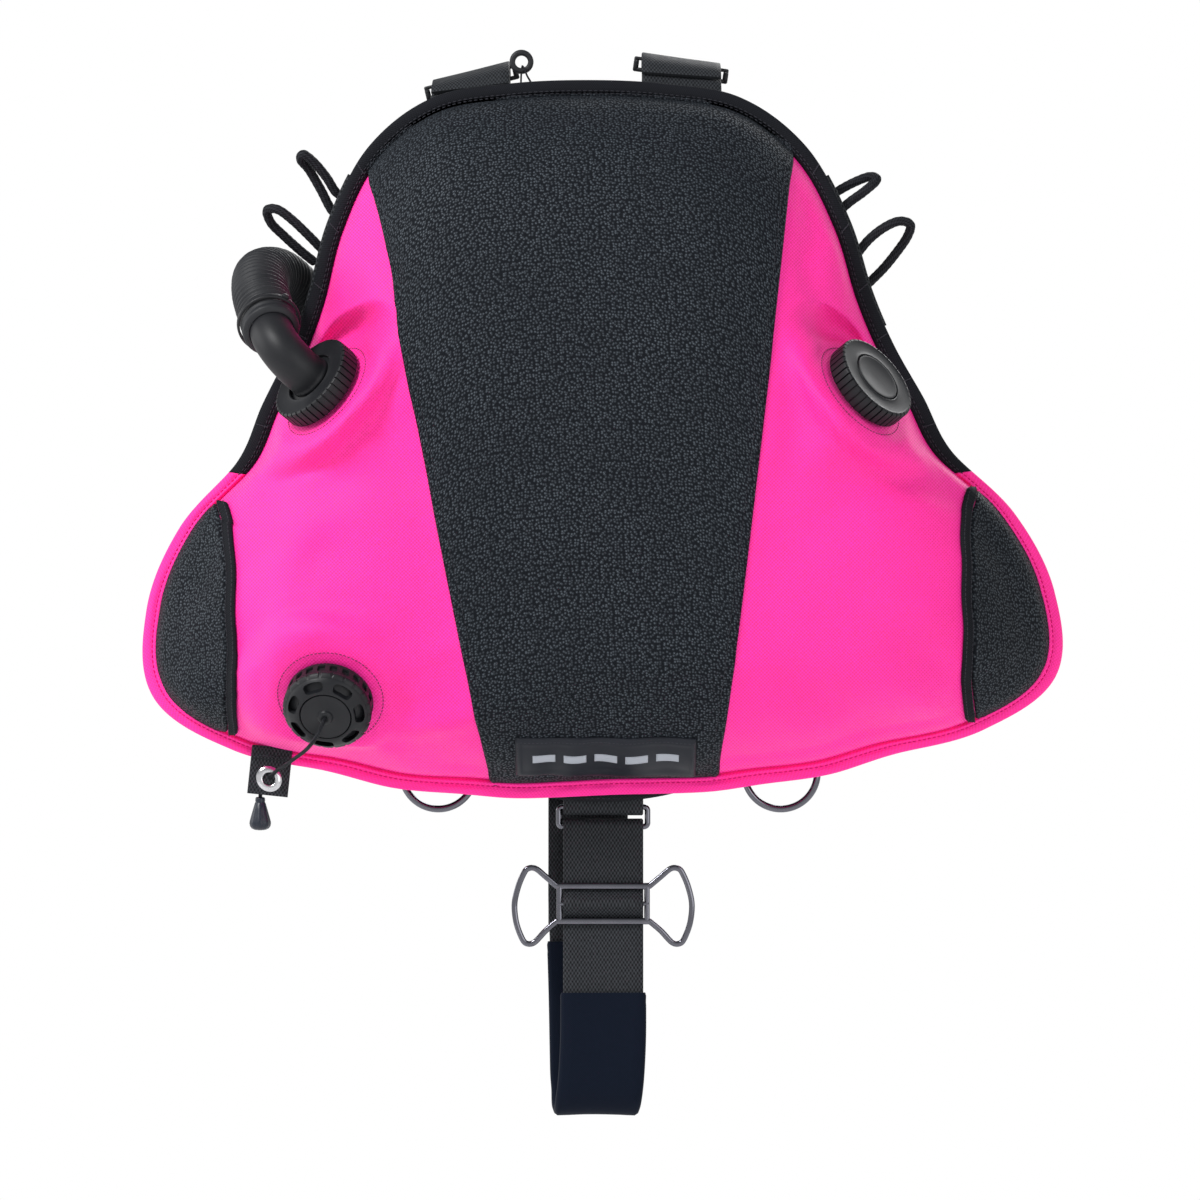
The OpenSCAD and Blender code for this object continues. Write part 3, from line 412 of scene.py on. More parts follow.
# ---------------------------------------------------------------- materials
class Mat:
    """A small helper to wire a procedural material."""

    def __init__(self, name, color, rough=0.6, metal=0.0, shine=0.22):
        self.m = bpy.data.materials.new(name)
        self.m.use_nodes = True
        self.nt = self.m.node_tree
        self.b = self.nt.nodes["Principled BSDF"]
        self.b.inputs["Base Color"].default_value = (*color, 1)
        self.b.inputs["Roughness"].default_value = rough
        self.b.inputs["Metallic"].default_value = metal
        self.b.inputs["Specular IOR Level"].default_value = 0.5 if metal else shine

    def new(self, kind, **props):
        n = self.nt.nodes.new(kind)
        for k, v in props.items():
            setattr(n, k, v)
        return n

    def join(self, a, b):
        self.nt.links.new(a, b)

    def coords(self, own):
        """Object coordinates, or with own the place on the piece's own cloth."""
        if own:
            return self.new("ShaderNodeAttribute", attribute_name="wv").outputs["Vector"]
        return self.new("ShaderNodeTexCoord").outputs["Object"]

    def math(self, op, a, b=None):
        n = self.new("ShaderNodeMath", operation=op)
        for s, v in zip(n.inputs, (a, b)):
            if isinstance(v, (int, float)):
                s.default_value = v
            elif v is not None:
                self.join(v, s)
        return n.outputs[0]

    def blend(self, a, b, share):
        """a and b together, share of it b."""
        return self.math("ADD", self.math("MULTIPLY", a, 1 - share), self.math("MULTIPLY", b, share))

    def noise(self, co, scale, detail=2.0, rough=0.5):
        n = self.new("ShaderNodeTexNoise")
        n.inputs["Scale"].default_value = scale
        n.inputs["Detail"].default_value = detail
        n.inputs["Roughness"].default_value = rough
        self.join(co, n.inputs["Vector"])
        return n.outputs["Fac"]

    def ramp(self, fac, stops):
        n = self.new("ShaderNodeValToRGB")
        e = n.color_ramp.elements
        while len(e) < len(stops):
            e.new(0.5)
        for k, (pos, col) in enumerate(stops):
            e[k].position = pos
            e[k].color = (*col, 1) if not isinstance(col, (int, float)) else (col, col, col, 1)
        self.join(fac, n.inputs[0])
        return n.outputs[0]

    def bump(self, height, strength, distance):
        n = self.new("ShaderNodeBump")
        n.inputs["Strength"].default_value = strength
        n.inputs["Distance"].default_value = distance
        self.join(height, n.inputs["Height"])
        return n.outputs[0]

    def set(self, name, out):
        self.join(out, self.b.inputs[name])

    def weave(self, co, pu, pv, second):
        """Threads over and under each other: 0 low to 1 high."""
        sep = self.new("ShaderNodeSeparateXYZ")
        self.join(co, sep.inputs[0])
        a = self.math("SINE", self.math("MULTIPLY", sep.outputs["X"], math.pi / pu))
        b = self.math("SINE", self.math("MULTIPLY", sep.outputs[second], math.pi / pv))
        return self.math("ADD", self.math("MULTIPLY", self.math("MULTIPLY", a, b), 0.5), 0.5)


def cloth(name, dark, light, pu, pv, rough=0.8, own=False, bump=0.35, depth=0.0004, sheen=0.0, cloudy=0.15,
          shine=0.12):
    """Woven cloth with threads pu by pv metres apart."""
    m = Mat(name, mix(np.array(dark), np.array(light), 0.5).tolist(), rough, shine=shine)
    m.b.inputs["Sheen Weight"].default_value = sheen
    m.b.inputs["Sheen Roughness"].default_value = 0.4
    co = m.coords(own)
    w = m.weave(co, pu, pv, "Y" if own else "Z")
    grain = m.noise(co, 0.8 / max(pu, pv), 2)
    big = m.noise(co, 14.0, 3)
    f = m.blend(m.blend(w, grain, 0.4), big, cloudy)
    m.set("Base Color", m.ramp(f, [(0.25, dark), (0.75, light)]))
    m.set("Roughness", m.ramp(grain, [(0.2, rough - 0.08), (0.8, min(1, rough + 0.08))]))
    m.set("Normal", m.bump(f, bump, depth))
    return m.m


def pebbles(name):
    """Black cloth with small raised grey pebbles."""
    m = Mat(name, (0.02, 0.024, 0.03), 0.62, shine=0.16)
    co = m.coords(True)
    v = m.new("ShaderNodeTexVoronoi", voronoi_dimensions="2D", feature="F1")
    v.inputs["Scale"].default_value = 520
    v.inputs["Randomness"].default_value = 0.8
    m.join(co, v.inputs["Vector"])
    dot = m.ramp(v.outputs["Distance"], [(0.12, 1.0), (0.52, 0.0)])
    cell = m.new("ShaderNodeSeparateColor")
    m.join(v.outputs["Color"], cell.inputs[0])
    tone = m.math("ADD", m.math("MULTIPLY", cell.outputs[0], 0.45), 0.55)
    f = m.math("MULTIPLY", dot, tone)
    big = m.noise(co, 9, 3)
    f = m.math("MULTIPLY", f, m.math("ADD", m.math("MULTIPLY", big, 0.5), 0.75))
    m.set("Base Color", m.ramp(f, [(0.0, (0.002, 0.0032, 0.0056)), (0.45, (0.0125, 0.016, 0.021)),
                                   (1.0, (0.06, 0.072, 0.085))]))
    m.set("Roughness", m.ramp(dot, [(0.0, 0.85), (1.0, 0.5)]))
    m.set("Normal", m.bump(dot, 0.5, 0.0004))
    return m.m


def plastic(name, color, rough=0.42, grain=900.0, strength=0.12, worn=0.06, shine=0.3):
    """Moulded plastic or rubber: fine spark grain, faint handling marks."""
    m = Mat(name, color, rough, shine=shine)
    co = m.coords(False)
    fine = m.noise(co, grain, 2)
    big = m.noise(co, 45, 4, 0.6)
    light = [min(1, c + worn * 0.35) for c in color]
    m.set("Base Color", m.ramp(big, [(0.3, color), (0.78, light)]))
    m.set("Roughness", m.ramp(big, [(0.3, rough), (0.75, min(1, rough + 0.14))]))
    m.set("Normal", m.bump(fine, strength, 0.0002))
    return m.m


def metal(name, color, rough, brushed=0.1):
    m = Mat(name, color, rough, 1.0)
    co = m.coords(False)
    big = m.noise(co, 60, 4, 0.65)
    fine = m.noise(co, 1500, 1)
    m.set("Base Color", m.ramp(big, [(0.3, [c * 0.86 for c in color]), (0.7, color)]))
    m.set("Roughness", m.ramp(big, [(0.3, rough), (0.75, rough + 0.12)]))
    m.set("Normal", m.bump(fine, brushed, 0.0001))
    return m.m


PINK = cloth("pink_cloth", (0.78, 0.001, 0.165), (1.0, 0.02, 0.41), 0.0011, 0.0011, 0.7, bump=0.75,
             sheen=0.12, cloudy=0.12, shine=0.5)
PINK_HEM = cloth("pink_binding", (0.84, 0.0015, 0.19), (1.0, 0.01, 0.35), 0.0011, 0.0011, 0.7, own=True,
                 bump=0.4, sheen=0.1, shine=0.5)
PINK_THREAD = cloth("pink_thread", (0.5, 0.001, 0.10), (0.72, 0.004, 0.2), 0.0004, 0.0004, 0.6)
TAPE = cloth("black_binding", (0.002, 0.0023, 0.0035), (0.011, 0.012, 0.016), 0.0009, 0.0007, 0.8, own=True,
             bump=0.6)
THREAD = cloth("black_thread", (0.012, 0.012, 0.016), (0.045, 0.046, 0.056), 0.0004, 0.0004, 0.6)
DOTS = pebbles("dotted_cloth")
NYLON = cloth("black_cloth", (0.003, 0.0035, 0.0045), (0.014, 0.015, 0.018), 0.0011, 0.0011, 0.8, bump=0.5)
PAD = cloth("padding", (0.0018, 0.0034, 0.0085), (0.005, 0.0085, 0.0175), 0.0007, 0.0007, 0.9, bump=0.3,
            sheen=0.04, shine=0.08)
MESH = cloth("pad_mesh", (0.003, 0.0035, 0.005), (0.02, 0.022, 0.027), 0.0024, 0.0024, 0.85, bump=0.9,
             depth=0.0008)
WEB = cloth("webbing", (0.0025, 0.003, 0.004), (0.034, 0.037, 0.042), 0.0011, 0.0017, 0.66, own=True,
            bump=0.8, depth=0.0005, cloudy=0.06)
CORD = cloth("shock_cord", (0.002, 0.002, 0.003), (0.02, 0.021, 0.026), 0.0012, 0.0016, 0.7, own=True,
             bump=0.9, depth=0.0005)
FILM = plastic("bladder_film", (0.09, 0.09, 0.11), 0.35, 300, 0.1)
PATCH = plastic("patch_rubber", (0.0045, 0.006, 0.011), 0.5, 1200, 0.1, 0.012, 0.25)
PATCH_LIGHT = plastic("patch_rubber_light", (0.30, 0.32, 0.36), 0.5, 1200, 0.1, 0.03)
RUBBER = plastic("hose_rubber", (0.007, 0.008, 0.0105), 0.5, 700, 0.12, 0.02, 0.3)
BLACK = plastic("black_plastic", (0.005, 0.0055, 0.0075), 0.42, 900, 0.14, 0.016, 0.26)
KNOB = plastic("knob_plastic", (0.004, 0.008, 0.017), 0.3, 900, 0.06, 0.015, 0.35)
GREY = plastic("deflate_plastic", (0.11, 0.11, 0.12), 0.45)
RED = plastic("inflate_plastic", (0.5, 0.012, 0.03), 0.4)
STEEL = metal("steel", (0.56, 0.56, 0.58), 0.2)
CHROME = metal("dark_chrome", (0.13, 0.13, 0.15), 0.08, 0.03)


# ---------------------------------------------------------------- camera, light and floor
cam = bpy.data.objects.new("camera", bpy.data.cameras.new("camera"))
bpy.context.scene.collection.objects.link(cam)
cam.location = (0, -3.53, -0.0992)
cam.rotation_euler = (math.pi / 2, 0, 0)
cam.data.lens = 36 * 3.5 / 0.744
bpy.context.scene.camera = cam
bpy.context.scene.view_settings.view_transform = "Standard"


def light(name, at, size, power):
    d = bpy.data.lights.new(name, "AREA")
    d.size, d.energy = size, power
    o = bpy.data.objects.new(name, d)
    bpy.context.scene.collection.objects.link(o)
    o.location = at
    o.rotation_mode = "QUATERNION"
    o.rotation_quaternion = (Vector((0, 0, -0.08)) - Vector(at)).to_track_quat("-Z", "Y")


light("key", (-1.7, -1.7, 2.0), 0.8, 92)
light("fill", (1.6, -2.6, 0.4), 1.8, 22)
light("back_key", (0.9, 2.2, 1.6), 1.6, 60)
light("side", (-2.3, 0.3, 0.5), 1.0, 16)
world = bpy.data.worlds.new("world")
bpy.context.scene.world = world
world.use_nodes = True
sky = world.node_tree
height = sky.nodes.new("ShaderNodeSeparateXYZ")
sky.links.new(sky.nodes.new("ShaderNodeTexCoord").outputs["Generated"], height.inputs[0])
level = sky.nodes.new("ShaderNodeValToRGB")
for stop, at, tone in zip(level.color_ramp.elements, (0.14, 0.34), ((1.0, 1.0, 1.0), (0.37, 0.38, 0.39))):
    stop.position, stop.color = at, (*tone, 1)
sky.links.new(height.outputs["Z"], level.inputs[0])
sky.links.new(level.outputs[0], sky.nodes["Background"].inputs["Color"])

floor_mat = Mat("floor", (0.9, 0.9, 0.9), 0.9)
floor_mat.set("Base Color", floor_mat.ramp(floor_mat.noise(floor_mat.coords(False), 3),
                                           [(0, 0.9), (1, 0.92)]))
disc = np.array([circle(r, 96, -640)[:-1] for r in (20, 400, 900, 1450)])
add_mesh("floor", disc, quads(4, 96, True) + [list(range(95, -1, -1))], floor_mat.m, body=None)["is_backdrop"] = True


# ---------------------------------------------------------------- cords first: hose, pull cord, bungee loops
HOSE_START = ELBOW.at([23.0, 0, 44.0])
HOSE_LEAD = ELBOW.at([44.0, 0, 44.0])
HOSE_ROUTE = [(-211, -22, 92), (-211, 4, 103), (-202, 30, 104), (-190, 47, 92), (-180, 56, 68),
              (-175, 59, 38), (-172, 60, 8), (-172, 60, -18), (-172, 60, -42)]


def corrugated():
    """The hose: a ribbed wall between two plain cuffs with raised bands."""
    path = even(smooth([HOSE_START, HOSE_LEAD] + HOSE_ROUTE, 12), 0.7)
    s = steps_of(path)
    ends = np.minimum(s, s[-1] - s)
    ribbed = 16.2 + 1.8 * (0.5 + 0.5 * np.cos(TAU * s / 4.6)) ** 0.7
    cuff = 16.6 + 0 * s
    for at in (3.0, 9.0, 15.5):
        cuff = cuff + 1.1 * hump(np.minimum(np.abs(s - at), np.abs(s[-1] - s - at)), 1.6)
    cuff = cuff - 2.2 * (1 - ease(ends / 1.5))
    outer = tube_rings(path, mix(cuff, ribbed, ease((ends - 19) / 4)), 40)
    inner = tube_rings(path, 13.6, 40)
    wall = Build().rings(np.concatenate([outer, inner[::-1]]), close=True)
    return wall.piece("hose", RUBBER, slot="hose_rubber", node="inflator_hose"), path


hose, hose_path = corrugated()

CORD_ROUTE = [(-166.8, -90.9, -168.6), (-167.4, -95.8, -171.8), (-168.6, -99, -174.6),
              (-171.5, -97.5, -180.6), (-176.5, -88, -187.6), (-181.5, -76, -192.3), (-187.5, -62, -196.5),
              (-194, -46, -201), (-200.3, -30, -205), (-204.3, -19, -208.2), (-206, -13.4, -209.8),
              (-207.4, -10.4, -211.4), (-209.5, -9.4, -214.5), (-211.4, -9.4, -218.5), (-211.9, -9.4, -223),
              (-211.9, -9.4, -231)]
LOOPS = {
    "bungee_left_upper": ("left_bungee_loops", [
        (-156, 4, 157), (-164, 3, 155), (-171, 0, 165), (-178, -3, 173.5), (-185, -5, 179), (-187, -1, 176),
        (-182, 5, 170), (-175, 9, 158), (-168, 11, 145), (-160, 12, 139)]),
    "bungee_left_lower": ("left_bungee_loops", [
        (-162, 2, 111), (-172, 1, 118.5), (-182, -2, 128.5), (-192, -4, 138), (-201, -5, 144.5),
        (-208, -1, 144.5), (-206, 5, 137), (-198, 9, 129), (-188, 12, 120), (-178, 14, 112)]),
    "bungee_right_upper": ("right_bungee_loops", [
        (139, 12, 150), (148, 11, 156.5), (159, 9, 162.5), (169, 6, 166), (173, 1, 163.5), (165, -3, 156),
        (156, -2, 149.5), (149, 1, 143.5), (142, 4, 138)]),
    "bungee_right_lower": ("right_bungee_loops", [
        (152, 2, 108), (159.7, 1, 116), (168, -1, 126), (177.5, -3, 133.5), (187, -3, 137.5), (194, 0, 135.5),
        (192.5, 5, 128.5), (186.5, 9, 119.5), (178, 12, 109), (169, 14, 100), (161, 15, 92)]),
}


def braided(name, route, r, node, sides=16):
    """A braided cord: a tube with a diamond braid raised on it."""
    path = even(smooth(route, 10), 0.5 if r > 2 else 0.4)
    s = steps_of(path)
    n = sides * 2
    a = np.arange(n) * TAU / n
    lay = TAU * s / (7.5 * r / 3)
    k = sides / 2
    ra = r * (0.955 + 0.045 * np.cos(k * a[None] + lay[:, None]) * np.cos(k * a[None] - lay[:, None]))
    ra = ra * rounded(np.minimum(s, s[-1] - s), r * 0.8, 0.03)[:, None]
    wv = np.stack(np.broadcast_arrays(a[None] * r + s[:, None] * 0.6, s[:, None] + 0 * a[None]), -1)
    return Build().rings(tube_rings(path, ra, n), wv=wv).piece(name, CORD, slot="shock_cord", node=node), path


RING_CORD = [(-49.5, 1.4, 222), (-49.3, 1.2, 229), (-49, 1, 232.8), (-48.6, -1.5, 234.2),
             (-48.4, -4.5, 234.2), (-47.3, -7.2, 232.6), (-45.5, -7.2, 228), (-43, -4, 224), (-41.5, -1, 222)]
pull_cord, pull_path = braided("pull_cord_line", CORD_ROUTE, 1.25, "pull_cord", 8)
loops = {n: braided(n, route, 3.0, node) for n, (node, route) in LOOPS.items()}
ring_cord, ring_path = braided("ring_string", RING_CORD, 0.6, "ring_cord", 8)


# ---------------------------------------------------------------- the wing: its soft shape
FOLDS = [  # soft creases as (from x, z, to x, z, width, depth): the depth is negative for a valley
    (-240, -20, -205, 2, 9, -1.6), (-236, -38, -192, -26, 10, 1.4), (-214, -64, -160, -72, 16, -1.8),
    (-150, 6, -100, -36, 15, -1.8), (-141, 120, -120, 82, 7, -1.8), (-133, 146, -118, 104, 6, 1.4),
    (-148, 66, -112, 24, 13, 1.6), (-196, -110, -150, -122, 12, 1.5), (-214, -136, -196, -172, 9, -1.8),
    (-128, -128, -102, -178, 12, -2.2), (-116, -146, -92, -186, 9, 1.8), (-150, -196, -120, -186, 8, -1.5),
    (196, -8, 226, -34, 10, -1.7), (170, -30, 120, -62, 15, -1.6), (128, 110, 148, 60, 8, -1.6),
    (124, 60, 108, 20, 14, 1.5), (190, -128, 226, -152, 10, -2.4), (180, -100, 228, -116, 12, 1.8),
    (182, -150, 214, -176, 8, 1.8), (120, -150, 160, -178, 12, -1.8), (92, -110, 104, -168, 12, 1.4),
    (245, -70, 268, -110, 9, -1.2), (-246, -70, -266, -118, 9, -1.2), (60, 190, 96, 170, 12, -1.0),
]


def port_distance(x, z):
    return np.min([p.away(x, z) for p in PORTS], axis=0)


def relief(x, z):
    """How far the cloth stands off its plain shape, outward, in mm."""
    s, a = polar(x, z)
    keep = ease((port_distance(x, z) - 34) / 14) * ease((1.0 - s) / 0.05)
    h = 0 * x
    for x0, z0, x1, z1, w, d in FOLDS:
        dx, dz = x1 - x0, z1 - z0
        t = np.clip(((x - x0) * dx + (z - z0) * dz) / (dx * dx + dz * dz), 0, 1)
        away = np.hypot(x - x0 - t * dx, z - z0 - t * dz)
        h = h + d * hump(away, w) * (0.35 + 0.65 * np.sin(math.pi * np.clip(t, 0.12, 0.88)))
    # puckers that run in from the sewn edge
    run = np.radians(a) * MEAN_R
    near_edge = ease((s - 0.72) / 0.2) * (1 - ease((s - 0.975) / 0.025))
    pucker = np.sin(run / 8.5 + 1.3 * np.sin(run / 37)) * (0.5 + 0.5 * np.sin(run / 61 + 1.0))
    h = h + near_edge * pucker * (0.35 + 0.6 * ease((-z - 20) / 60))
    # the dimples where the cloth is drawn to each port's flange
    for p in PORTS:
        h = h - 1.0 * hump(p.away(x, z) - 46, 9)
    return 1.35 * h * keep


def outward(x, z, d=1.5):
    n = np.stack([(front(x + d, z) - front(x - d, z)) / 2 / d, -np.ones_like(x),
                  (front(x, z + d) - front(x, z - d)) / 2 / d], -1)
    return unit(n)


SIM_ROWS, SIM_COLS, SIM_FROM = 46, 200, 0.12     # the simulated cloth is a ring from SIM_FROM out to 1
SIM_FRAMES, SIM_MOST = 24, 5.0


def simulate_cover():
    """The inflated cover by cloth simulation: how far each place moves outward, in mm, by rows and columns."""
    shares = SIM_FROM + (1 - SIM_FROM) * (np.arange(SIM_ROWS) / (SIM_ROWS - 1)) ** 0.8
    x, z, _ = wing_grid(shares, SIM_COLS)
    rest = np.stack([x, front(x, z), z], -1)
    o = add_mesh("cover_sim", rest, quads(SIM_ROWS, SIM_COLS, True), PINK, body=None)
    me = o.data
    pin = o.vertex_groups.new(name="pin")
    held_rows = ((shares >= 0.985) | (shares <= 0.16))[:, None] * 1.0
    hold = np.maximum(1 - ease((port_distance(x, z) - 35) / 6), held_rows)
    for i, w in enumerate(hold.ravel()):
        if w > 0.01:
            pin.add([i], float(min(1, w)), "REPLACE")
    c = o.modifiers.new("cloth", "CLOTH")
    st = c.settings
    st.quality = 6
    st.mass = 0.25
    st.air_damping = 2
    st.tension_stiffness = st.compression_stiffness = 18
    st.shear_stiffness = 6
    st.bending_stiffness = 0.35
    st.vertex_group_mass = "pin"
    st.use_pressure = True
    st.uniform_pressure_force = 3.2
    st.shrink_min = st.shrink_max = -0.035
    st.effector_weights.gravity = 0
    c.collision_settings.use_self_collision = False
    scene = bpy.context.scene
    c.point_cache.frame_start, c.point_cache.frame_end = 1, SIM_FRAMES
    for f in range(1, SIM_FRAMES + 1):
        scene.frame_set(f)
    co = np.zeros(len(me.vertices) * 3, np.float32)
    o.evaluated_get(bpy.context.evaluated_depsgraph_get()).data.vertices.foreach_get("co", co)
    scene.frame_set(1)
    moved = co.reshape(SIM_ROWS, SIM_COLS, 3).astype(float) * 1000 - rest
    bpy.data.objects.remove(o)
    bpy.data.meshes.remove(me)
    out = SIM_MOST * np.tanh((moved * outward(x, z)).sum(-1) / SIM_MOST)
    for _ in range(2):
        out = 0.5 * out + 0.25 * (np.roll(out, 1, 1) + np.roll(out, -1, 1))
        out[1:-1] = 0.5 * out[1:-1] + 0.25 * (out[2:] + out[:-2])
    return out


SIM = simulate_cover()


def simulated(x, z):
    """The simulated movement at [x, z], calmer on the flat middle and nothing at the ports and the edge."""
    if SIM is None:
        return np.zeros(np.shape(x))
    s, a = polar(x, z)
    row = ((np.clip(s, SIM_FROM, 1) - SIM_FROM) / (1 - SIM_FROM)) ** 1.25 * (SIM_ROWS - 1)
    i = np.clip(row, 0, SIM_ROWS - 1.001)
    j = np.mod(a, 360) / 360 * SIM_COLS
    i0, j0 = np.floor(i).astype(int), np.floor(j).astype(int) % SIM_COLS
    fi, fj = ease(i - np.floor(i)), ease(j - np.floor(j))
    j1 = (j0 + 1) % SIM_COLS
    out = mix(mix(SIM[i0, j0], SIM[i0, j1], fj), mix(SIM[i0 + 1, j0], SIM[i0 + 1, j1], fj), fi)
    calm = 0.35 + 0.65 * ease((np.abs(x) - 60 - 0.15 * (z + 200)) / 30)
    inside = ease(s / 0.2) * ease((port_distance(x, z) - 34) / 6) * ease((1 - s) / 0.03)
    return out * calm * inside


def skin(x, z, off=0.0, d=1.5):
    """The cover's outer surface at [x, z], off above it, with its creases."""
    x, z = np.broadcast_arrays(np.asarray(x, float), np.asarray(z, float))
    base = np.stack([x, front(x, z), z], -1)
    return base + (simulated(x, z) + relief(x, z) + off)[..., None] * outward(x, z, d)


def between(a, b, n):
    """Places between two edges, finer towards both: rows along the edges, columns across."""
    t = (1 - np.cos(math.pi * np.arange(n + 1) / n)) / 2
    return a[:, None] + (b - a)[:, None] * t[None, :, None]


def sheet_piece(name, places, mat, slot, node, lift=0.5, thick=1.2, d=1.5, rolled=2.5):
    """A cloth panel on the cover. places is a grid of [x, z]."""
    x, z = places[..., 0], places[..., 1]
    flat = skin(x, z, lift, d)
    across = np.cumsum(np.linalg.norm(np.diff(flat, axis=1, prepend=flat[:, :1]), axis=-1), axis=1)
    along = run_of(flat[:, x.shape[1] // 2])
    edge = np.minimum(across, across[:, -1:] - across)
    top = lift + thick * rounded(edge, rolled) + 0.5 * hump(edge - rolled, 1.6)
    hi, lo = skin(x, z, top, d), skin(x, z, lift - 0.3, d)
    wv = np.stack(np.broadcast_arrays(across - across[:, -1:] / 2, along[:, None]), -1)
    b = Build().rings(np.concatenate([hi, lo[:, ::-1]], 1), wv=np.concatenate([wv, wv[:, ::-1]], 1))
    return b.piece(name, mat, slot=slot, node=node)


def sew_on(build, line, lift, pitch, long, r, d=1.5):
    """Stitches on the cover along a line of [x, z]."""
    x, z = line[:, 0], line[:, 1]
    stitches(build, skin(x, z, lift, d), outward(x, z, d), pitch, long, r)


def rim_run(a, b, n, inset):
    return rim_point(mix(a, b, np.arange(n + 1) / n), inset)


# ---------------------------------------------------------------- the wing's cloth
def to_lip(near, a, lip_y, thick, name, mat, slot, node):
    """A cloth of the wing: carried on under the edge tape, with a thickness."""
    lip = rim_point(a, RIM_W - 5)
    near = np.concatenate([near, np.stack([lip[:, 0], edge_y(lip[:, 0]) + lip_y, lip[:, 1]], -1)[None]])
    b = Build().rings(np.concatenate([near, near[::-1] + thick * REARWARD]))
    return b.piece(name, mat, slot=slot, node=node)


def wing_shell():
    x, z, a = wing_grid(np.concatenate([np.linspace(0.02, 0.8, 34), np.linspace(0.815, 1.0, 26)]), 480)
    return to_lip(skin(x, z), a, -0.4, 1.2, "wing_shell", PINK, "pink_cloth", "wing_cover")


def back_panel():
    shares = np.concatenate([np.linspace(0.02, 0.8, 24), np.linspace(0.82, 1.0, 16)])
    x, z, a = wing_grid(shares, 360)
    s = shares[:, None]
    run = np.radians(a)[None] * MEAN_R
    pucker = np.sin(run / 9 + np.sin(run / 41)) * ease((s - 0.78) / 0.15) * (1 - ease((s - 0.97) / 0.03))
    near = np.stack([x, rear(x, z) + 1.5 + 0.7 * pucker, z], -1)
    return to_lip(near, a, 1.9, -1.2, "wing_back", NYLON, "black_cloth", "wing_back_panel")


def bladder():
    x, z, _ = wing_grid(np.array([0.06, 0.2, 0.35, 0.5, 0.6, 0.68, 0.75, 0.8, 0.85, 0.89, 0.92]), 160)
    g = rear(x, z)
    f = np.minimum(front(x, z) + 15, g - 8)
    near, far = np.stack([x, f, z], -1), np.stack([x, g - 4, z], -1)[::-1]
    Build().rings(np.concatenate([near, far])).piece("bladder", FILM, slot="bladder_film", node="air_bladder")


shell = wing_shell()
back = back_panel()
bladder()
panel = between(rim_run(247, 294, 120, RIM_W - 4), rim_run(122, 61, 120, RIM_W - 4), 150)
panel = sheet_piece("dotted_panel", panel.transpose(1, 0, 2), DOTS, "dotted_cloth", "centre_panel")

TIP_Z = {-1: (-174, -46), 1: (-166, -38)}
TIP_ANGLES = {-1: (-28.0, 0.9), 1: (-26.5, 2.7)}
SIDES = ((-1, "left"), (1, "right"))
TAPE_W = 6


def tip_seam(side, n, more):
    """The line of a tip's inner edge, more mm longer at both ends."""
    t = np.linspace(0, 1, n + 1)
    lo, hi = TIP_Z[side]
    z = mix(lo - more, hi + more, t)
    return np.stack([side * (mix(233.0, 236.0, t) - 8 * t * (1 - t)) - lean_at(z), z], -1)


for side, word in SIDES:
    a = mix(*[np.float64(q) for q in TIP_ANGLES[side]], np.linspace(0, 1, 61))
    edges = [rim_point(a if side > 0 else 180 - a, RIM_W - 2), tip_seam(side, 60, 6)]
    grid = between(*edges[::-side], 30)
    sheet_piece(word + "_tip", grid, DOTS, "dotted_cloth", word + "_tip_panel", d=4)

band, band_thread = Build(), Build()
for side, _ in SIDES:
    line = tip_seam(side, 120, 7)
    at = 0.8 if side < 0 else -0.8 - TAPE_W
    t = np.linspace(0, 1, 9)
    grid = line[:, None] + np.stack([at + TAPE_W * t, 0 * t], -1)[None]
    edge = np.minimum(t, 1 - t)[None] * TAPE_W
    hi = skin(grid[..., 0], grid[..., 1], 1.6 + 1.3 * np.sqrt(np.clip(edge / 0.8, 0, 1)))
    lo = skin(grid[..., 0], grid[..., 1], 0.8)
    w = np.stack(np.broadcast_arrays(TAPE_W * t[None], 1.2 * np.arange(len(line))[:, None]), -1)
    band.rings(np.concatenate([hi, lo[:, ::-1]], 1), wv=np.concatenate([w, w[:, ::-1]], 1))
    for q in (1.1, 4.9):
        sew_on(band_thread, line + np.array([at + q, 0]), 2.95, 3.0, 2.1, 0.32)
band.piece("tip_tapes", TAPE, slot="black_binding", node="tip_bindings")
band_thread.piece("tip_stitching", THREAD)


def rim_rings(a, piping):
    """The rounded tape that closes the wing's edge; piping raises a cord along its inner edge."""
    q = np.linspace(0, TAU, 29)[:-1]
    inset = RIM_W / 2 - (RIM_W / 2 - 0.4) * np.cos(q)
    p = rim_point(a[:, None], inset[None])
    flat = np.sign(np.sin(q)) * np.abs(np.sin(q)) ** 0.7
    y = edge_y(p[..., 0]) + 0.9 - 3 * flat[None]
    run = np.radians(a)[:, None] * MEAN_R
    wave = 0.35 * np.sin(run / 7.0 + 2 * np.sin(run / 33.0)) + 0.25 * np.sin(run / 17.0)
    if piping:
        y = y - (1.1 * hump(inset - 9.6, 1.1) - 0.7 * hump(inset - 7.2, 1.0))[None] * (flat[None] > 0)
        y = y - wave * 1.6 * hump(inset - 4, 3)[None] * (flat[None] > 0)
    else:
        y = y + (0.5 * hump(inset - 8.6, 0.9))[None] * (flat[None] > 0)
        y = y - wave * 0.5 * hump(inset - 5, 3)[None]
    rings = np.stack([p[..., 0], y, p[..., 1]], -1)
    return rings, np.stack(np.broadcast_arrays(inset[None], run_of(rings[:, 0])[:, None]), -1)


def rim_line(a, inset, lift=0.0):
    p = rim_point(a, inset)
    c = (RIM_W / 2 - inset) / (RIM_W / 2 - 0.4)
    s = np.sqrt(max(0, 1 - c * c)) ** 0.7
    return np.stack([p[:, 0], edge_y(p[:, 0]) + 0.9 - 3 * s - lift, p[:, 1]], -1)


